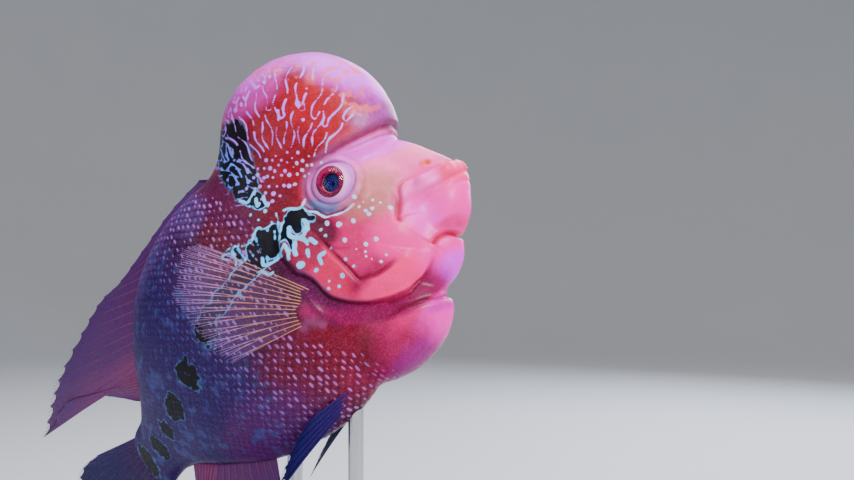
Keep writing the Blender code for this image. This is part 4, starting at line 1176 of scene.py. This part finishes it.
def make_tubes(name, paths, radii, flat_normal, attributes):
    """Many thin rods in one mesh, each along its own path"""
    count, steps, _ = paths.shape
    sides = 6
    run = unit(np.gradient(paths, axis=1))
    first = unit(np.cross(run, flat_normal))
    second = np.cross(run, first)
    turn = np.arange(sides) * 2 * math.pi / sides
    ring = (paths[:, :, None] + radii[:, :, None, None]
            * (first[:, :, None] * np.cos(turn)[:, None] + second[:, :, None] * np.sin(turn)[:, None]))
    index = np.arange(steps * sides).reshape(steps, sides)
    caps = [index[0, [3, 2, 1, 0]], index[0, [0, 5, 4, 3]],
            index[-1, [0, 1, 2, 3]], index[-1, [0, 3, 4, 5]]]
    one = np.vstack([ring_quads(index), caps])
    faces = (one[None] + (np.arange(count) * steps * sides)[:, None, None]).reshape(-1, 4)
    spread = {key: np.repeat(value.ravel(), sides) for key, value in attributes.items()}
    return mesh_object(name, ring.reshape(-1, 3), faces, spread)


def make_fin(node, looks):
    """A fin's web and its branching rays"""
    rays, ripple, count, thick, spines, look, slot = FINS[node]
    web_material, ray_material = looks[look]
    side = -1 if node.endswith("right") else 1
    last = len(rays) - 1.0
    number = np.linspace(0, last, (count - 1) * WEB_CUTS + 1)
    v = np.linspace(0.0, 1.0, WEB_STEPS + 1) ** 0.9
    n, w = np.meshgrid(number, v, indexing="ij")
    between = np.abs(np.sin(math.pi * n / last * (count - 1)))
    w = w * (1 - (0.02 + 0.05 * between ** 0.7) * ramp(w, 0.5, 1.0))
    middle = fin_points(rays, side, ripple, n, w)
    normal = unit(np.cross(np.gradient(middle, axis=0), np.gradient(middle, axis=1)))
    half = (0.16 * thick / 0.5) * (1 - 0.6 * w)[..., None]
    edge = np.zeros(n.shape, bool)
    edge[[0, -1], :] = True
    edge[:, [0, -1]] = True
    front = middle + normal * half * ~edge[..., None]
    rear = (middle - normal * half)[~edge]
    points = np.vstack([front.reshape(-1, 3), rear])
    faces, inner = sheet_faces(edge)
    both = np.concatenate([np.arange(n.size), inner])
    web = mesh_object(f"{node}_web", points, faces,
                      {"reach": w.ravel()[both], "row": n.ravel()[both] / last,
                       "between": between.ravel()[both]})
    finish_piece(web, web_material, slot, node)

    rng = np.random.RandomState(len(node) + 3)
    paths, radii, reach, row = [], [], [], []
    gap = last / (count - 1)
    for k in range(count):
        own = k * gap
        soft = k / (count - 1) >= spines
        length = rng.uniform(0.985, 1.015)
        branches = [(0.0, 0.0, 0.03, 1.0 if not soft else 0.62)]
        if soft:
            branches += [(s * 0.26, 0.0, 0.40, 0.86) for s in (-1, 1)]
            branches += [(s * 0.26 + t * 0.13, s * 0.12, 0.66, 1.0) for s in (-1, 1) for t in (-1, 1)]
        for spread, start_spread, start, end in branches:
            t = np.linspace(0, 1, RAY_STEPS)
            share = start + (end - start) * t
            where = own + gap * (start_spread + (spread - start_spread) * t)
            paths.append(fin_points(rays, side, ripple, np.clip(where, 0, last), share * length))
            begin = thick * (1 - 0.62 * start) * (0.7 if start > 0.03 else 1.0)
            begin *= 0.75 if start > 0.6 else 1.0
            finish = thick * (0.12 if end > 0.9 else 0.24)
            radii.append(begin + (finish - begin) * t)
            reach.append(share)
            row.append(np.full(RAY_STEPS, k / (count - 1)))
    paths, radii, reach, row = map(np.array, (paths, radii, reach, row))
    flat = normal[len(normal) // 2, RAY_STEPS // 2]
    bones = make_tubes(f"{node}_rays", paths, radii, flat, {"reach": reach, "row": row})
    finish_piece(bones, ray_material, slot, node)


def fin_material(name, pigments, alpha, ray=False, edge=None):
    """Web or rays of a fin, coloured from root to tip"""
    root, middle, tip = pigments
    g = Graph(name)
    reach = g.attribute("reach")
    patch = g.noise(300.0, 3.0)
    wobble = g.math("ADD", reach, g.math("MULTIPLY", g.math("SUBTRACT", patch, 0.5), 0.25))
    colour = g.mix(g.step(wobble, 0.02, 0.45), root, middle)
    colour = g.mix(g.step(wobble, 0.45, 0.95), colour, tip)
    if edge is not None:
        row = g.attribute("row")
        side = g.math("ADD", g.step(row, 0.62, 0.52), g.step(reach, 0.93, 1.0))
        colour = g.mix(g.math("MULTIPLY", g.math("MINIMUM", side, 1.0), 0.75), colour, edge)
    if ray:
        joints = g.node("ShaderNodeTexWave", wave_type="BANDS", bands_direction="X")
        joints.inputs["Scale"].default_value = 40.0
        stretch = g.node("ShaderNodeCombineXYZ")
        g.put(stretch.inputs[0], reach)
        g.put(joints.inputs["Vector"], stretch.outputs[0])
        normal = g.bump(joints.outputs["Fac"], 0.2, 0.0001)
        return g.set(Base_Color=colour, Roughness=g.step(patch, 0.3, 0.7, 0.25, 0.4), Normal=normal,
                     Specular_IOR_Level=0.08, Coat_Weight=0.03)
    streak = g.noise(900.0, 2.0)
    normal = g.bump(streak, 0.25, 0.00015)
    clear = g.step(streak, 0.3, 0.7, alpha * 0.94, min(1.0, alpha * 1.06))
    return g.set(Base_Color=colour, Roughness=g.step(patch, 0.3, 0.7, 0.22, 0.38), Alpha=clear,
                 Normal=normal, Specular_IOR_Level=0.08, Coat_Weight=0.03)


def eye_plane(centre, right, up):
    """Place in the side view from a place on the face of the eye, which stands upright in the pose"""
    pitch = math.radians(PITCH)
    return (centre[0] + right * math.cos(pitch) + up * math.sin(pitch),
            centre[1] - right * math.sin(pitch) + up * math.cos(pitch))


def ball_height(x, z):
    """Height of the eyeball over the middle plane of the eye"""
    off = np.hypot(x - EYE_RING[0], z - EYE_RING[1])
    return np.sqrt(np.maximum(EYE_RADIUS ** 2 - off ** 2, 0.01))


def make_eye(hand, material, clear):
    """Eyeball with its iris set back under a clear dome"""
    side = -1 if hand == "right" else 1
    shares = np.concatenate([np.linspace(0, 0.56, 6), [0.585, 0.60, 0.615, 0.64],
                             np.linspace(0.68, 0.94, 7), [0.97, 1.0, 1.03], np.linspace(1.08, 2.0, 20)])
    turn = np.linspace(0, 2 * math.pi, 73)[:-1]
    e, t = np.meshgrid(shares, turn, indexing="ij")
    outer = ramp(e, 1.0, 1.6)
    grown = np.clip(e - 1, 0, 1)
    wide, tall = (np.where(e < 1, e, 1) * half + (EYE_RADIUS * 0.985 - half) * grown for half in IRIS_SIZE)
    centre = [inner + (ring - inner) * outer for inner, ring in zip(IRIS, EYE_RING)]
    x, z = eye_plane(centre, wide * np.cos(t), tall * np.sin(t))
    ball = ball_height(x, z)
    iris_level = 8.35 - 0.55 * (1 - e) / 0.4
    height = np.where(e < 1, np.minimum(ball, iris_level), ball)
    height = height - 1.9 * ramp(e, 0.615, 0.585)
    rim = 0.25 * np.exp(-((e - 1.06) / 0.05) ** 2)
    points = np.stack([x, side * (EYE_DEPTH + height + rim), z], -1)
    back = np.array([[EYE_RING[0], side * (EYE_DEPTH - 3.0), EYE_RING[1]]])
    index = np.arange(e.size).reshape(e.shape)
    faces = np.vstack([ring_quads(index[1:]), ring_cap(0, index[1]),
                       ring_cap(e.size, index[-1])[:, [0, 3, 2, 1]]])
    if side < 0:
        faces = faces[:, ::-1]
    points = np.vstack([points.reshape(-1, 3), back])
    values = {"share": np.append(e.ravel(), 2.0), "right": np.append(np.cos(t).ravel(), 0),
              "up": np.append(np.sin(t).ravel(), 0)}
    ball_piece = mesh_object(f"eye_ball_{hand}", points, faces, values)
    finish_piece(ball_piece, material, "eye", f"eye_{hand}")

    e, t = np.meshgrid(np.linspace(0, DOME_REACH, 16), turn, indexing="ij")
    x, z = eye_plane(IRIS, e * IRIS_SIZE[0] * np.cos(t), e * IRIS_SIZE[1] * np.sin(t))
    bulge = DOME_HEIGHT * (1 - (e / DOME_REACH) ** 2) + 0.02
    outside = EYE_DEPTH + ball_height(x, z) + bulge
    thick = DOME_THICK * (1 - (e / DOME_REACH) ** 4)
    layers = [np.stack([x, side * y, z], -1).reshape(-1, 3) for y in (outside, outside - thick)]
    index = np.arange(e.size).reshape(e.shape)
    shell = np.vstack([ring_quads(index[1:]), ring_cap(0, index[1])])
    seam = ring_quads(np.stack([index[-1], index[-1] + e.size]))
    faces = np.vstack([shell, shell[:, ::-1] + e.size, seam[:, ::-1]])
    if side < 0:
        faces = faces[:, ::-1]
    dome = mesh_object(f"eye_dome_{hand}", np.concatenate(layers), faces)
    finish_piece(dome, clear, "eye", f"eye_{hand}")


def eye_material():
    """Pupil, iris and the white around it, by the share of the iris's radius"""
    g = Graph("eye_colours")
    share = g.attribute("share")
    up, right = g.attribute("up"), g.attribute("right")
    streak = g.noise(520.0, 2.0)
    lower_left = g.math("MULTIPLY", g.step(right, 0.35, -0.5), g.step(up, -0.2, -0.75))
    upper = g.step(up, -0.6, 0.5)
    iris = g.mix(upper, (0.11, 0.001, 0.04), (0.48, 0.002, 0.085))
    iris = g.mix(g.step(share, 0.80, 0.66), iris, (0.16, 0.001, 0.03))
    iris = g.mix(g.step(streak, 0.4, 0.65, 0.0, 0.3), iris, (0.62, 0.004, 0.15))
    # painted orange glint on the pupil's edge at its lower left
    pupil_rim = g.math("MULTIPLY", g.step(share, 0.57, 0.60), g.step(share, 0.68, 0.63))
    iris = g.mix(g.math("MULTIPLY", pupil_rim, lower_left), iris, (0.90, 0.16, 0.02))
    white = g.mix(g.step(share, 1.1, 1.5), (0.80, 0.28, 0.80), (0.50, 0.13, 0.56))
    white = g.mix(g.step(streak, 0.4, 0.7, 0.0, 0.25), white, (0.70, 0.22, 0.50))
    pupil = g.mix(g.step(share, 0.42, 0.56), (0.006, 0.006, 0.14), (0.002, 0.002, 0.02))
    colour = g.mix(g.step(share, 0.585, 0.61), pupil, iris)
    colour = g.mix(g.step(share, 0.945, 0.975), colour, (0.10, 0.002, 0.03))
    colour = g.mix(g.step(share, 0.985, 1.01), colour, (0.80, 0.26, 0.42))
    colour = g.mix(g.step(share, 1.05, 1.10), colour, white)
    normal = g.bump(streak, 0.04, 0.0001)
    return g.set(Base_Color=colour, Roughness=g.step(streak, 0.3, 0.7, 0.2, 0.3), Normal=normal,
                 Specular_IOR_Level=0.1, Coat_Weight=0.05, Coat_Roughness=0.05)


def clear_material():
    """Clear wet tissue of the dome"""
    g = Graph("eye_clear")
    smear = g.step(g.noise(300.0, 2.0), 0.3, 0.7, 0.0, 0.03)
    tint = g.mix(g.noise(200.0, 1.0), srgb(250, 250, 255), srgb(240, 245, 255))
    return g.set(Base_Color=tint, Roughness=smear, Transmission_Weight=1.0, IOR=1.10, Coat_Weight=0.15)


def walnut_material():
    """Wood of the base, with its grain along the base"""
    g = Graph("walnut_wood")
    grain = g.noise(30.0, 5.0, stretch=(1.0, 9.0, 9.0))
    pore = g.noise(240.0, 3.0, stretch=(0.12, 3.0, 3.0))
    band = g.math("FRACT", g.math("MULTIPLY", grain, 7.0))
    wood = g.mix(g.step(band, 0.1, 0.9), srgb(92, 58, 38), srgb(58, 34, 22))
    wood = g.mix(g.step(pore, 0.55, 0.7, 0.0, 0.6), wood, srgb(36, 20, 12))
    normal = g.bump(pore, 0.2, 0.0002)
    return g.set(Base_Color=wood, Roughness=g.step(pore, 0.4, 0.7, 0.32, 0.5), Normal=normal,
                 Coat_Weight=0.25, Coat_Roughness=0.2)


def steel_material():
    """Steel of the rods, brushed along them"""
    g = Graph("brushed_steel")
    brush = g.noise(700.0, 2.0, stretch=(1.0, 1.0, 0.06))
    tint = g.mix(brush, srgb(178, 180, 184), srgb(205, 207, 211))
    return g.set(Base_Color=tint, Roughness=g.step(brush, 0.3, 0.7, 0.22, 0.36), Metallic=1.0,
                 Normal=g.bump(brush, 0.12, 0.0001))


def repaint(nodes, material, *names):
    """Gives solids that stay in view their finished material"""
    for name in names:
        for slot in nodes[name].material_slots:
            slot.material = material


def make_stage():
    """Pale floor that curves up all round into a backdrop"""
    sides, cuts = 96, 12
    flat, curve, height = 1.6, 1.0, 2.4
    profile = [(0.02, 0.0), (0.4, 0.0), (1.0, 0.0), (flat, 0.0)]
    for step in range(1, cuts + 1):
        a = math.pi / 2 * step / cuts
        profile.append((flat + curve * math.sin(a), curve - curve * math.cos(a)))
    profile.append((flat + curve, height))
    points = [(r * math.cos(2 * math.pi * i / sides), r * math.sin(2 * math.pi * i / sides), h)
              for r, h in profile for i in range(sides)]
    faces = ring_quads(np.arange(len(points)).reshape(-1, sides))[:, [3, 2, 1, 0]].tolist()
    faces.append(tuple(range(sides)))
    mesh = bpy.data.meshes.new("floor")
    mesh.from_pydata(points, [], faces)
    mesh.shade_smooth()
    floor = bpy.data.objects.new("floor", mesh)
    bpy.context.scene.collection.objects.link(floor)
    g = Graph("floor_paint")
    pale = g.mix(g.noise(6.0, 3.0), srgb(184, 186, 190), srgb(190, 191, 194))
    mesh.materials.append(g.set(Base_Color=pale, Roughness=0.8))


def area_light(name, place_at, aim, size, power, colour=(1, 1, 1)):
    """A square soft light that faces a point"""
    light = bpy.data.lights.new(name, "AREA")
    light.size = size
    light.energy = power
    light.color = colour
    lamp = bpy.data.objects.new(name, light)
    bpy.context.scene.collection.objects.link(lamp)
    lamp.location = place_at
    lamp.rotation_euler = (Vector(aim) - Vector(place_at)).to_track_quat("-Z", "Y").to_euler()


def make_lights():
    """Plain soft studio light"""
    world = bpy.data.worlds.new("studio")
    world.use_nodes = True
    background = world.node_tree.nodes["Background"]
    background.inputs["Color"].default_value = (0.9, 0.93, 1.0, 1)
    background.inputs["Strength"].default_value = 0.30
    bpy.context.scene.world = world
    middle = (0.02, 0.0, 0.2)
    area_light("key", (0.75, -0.75, 0.95), middle, 0.5, 29.0)
    area_light("fill", (-0.9, -0.8, 0.45), middle, 1.0, 6.5)
    area_light("top", (0.1, 0.15, 1.25), middle, 0.9, 15.0)
    area_light("back", (0.55, 0.9, 0.7), middle, 0.8, 18.0, (0.78, 0.84, 1.0))


def make_camera():
    """Level camera that looks along y"""
    camera = bpy.data.cameras.new("camera")
    camera.lens = LENS
    camera.sensor_width = SENSOR
    camera.sensor_fit = "HORIZONTAL"
    camera.clip_start = 0.01
    eye = bpy.data.objects.new("camera", camera)
    bpy.context.scene.collection.objects.link(eye)
    eye.location = CAMERA_PLACE
    eye.rotation_euler = (math.radians(90), 0, 0)
    bpy.context.scene.camera = eye


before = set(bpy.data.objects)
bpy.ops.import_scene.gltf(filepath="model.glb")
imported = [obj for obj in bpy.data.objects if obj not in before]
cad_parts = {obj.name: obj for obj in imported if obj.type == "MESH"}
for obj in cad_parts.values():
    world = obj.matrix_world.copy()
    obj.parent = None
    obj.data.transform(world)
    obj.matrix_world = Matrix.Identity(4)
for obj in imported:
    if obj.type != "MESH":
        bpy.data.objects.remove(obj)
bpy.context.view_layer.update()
make_camera()
make_stage()
make_lights()
make_skin(hide_material("fish_skin", 0.0011))
scale_look = hide_material("scale_skin", 0.0008, scales=True)
trunk_roots = scale_roots(-64.0, -204.0, TRUNK_SCALE[0], trunk_zone)
breast_roots = scale_roots(-22.0, -86.0, BREAST_SCALE[0], breast_zone)
fore = trunk_roots[:, 0] > SCALE_SPLIT
for side, hand in ((-1, "right"), (1, "left")):
    make_scales(f"scales_fore_{hand}", side, trunk_roots[fore], TRUNK_SCALE, scale_look, "trunk")
    make_scales(f"scales_rear_{hand}", side, trunk_roots[~fore], TRUNK_SCALE, scale_look, "trunk", "tail")
    make_scales(f"scales_breast_{hand}", side, breast_roots, BREAST_SCALE, scale_look, "breast")
eye_look, eye_clear = eye_material(), clear_material()
for hand in ("right", "left"):
    make_eye(hand, eye_look, eye_clear)
looks = {look: (fin_material(f"{look}_web", web, opacity, edge=edge),
                fin_material(f"{look}_ray", ray, 1.0, ray=True))
         for look, (web, ray, opacity, edge) in FIN_PAINT.items()}
for node in FINS:
    make_fin(node, looks)
repaint(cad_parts, walnut_material(), "stand_base")
repaint(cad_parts, steel_material(), "stand_rod_front", "stand_rod_rear")
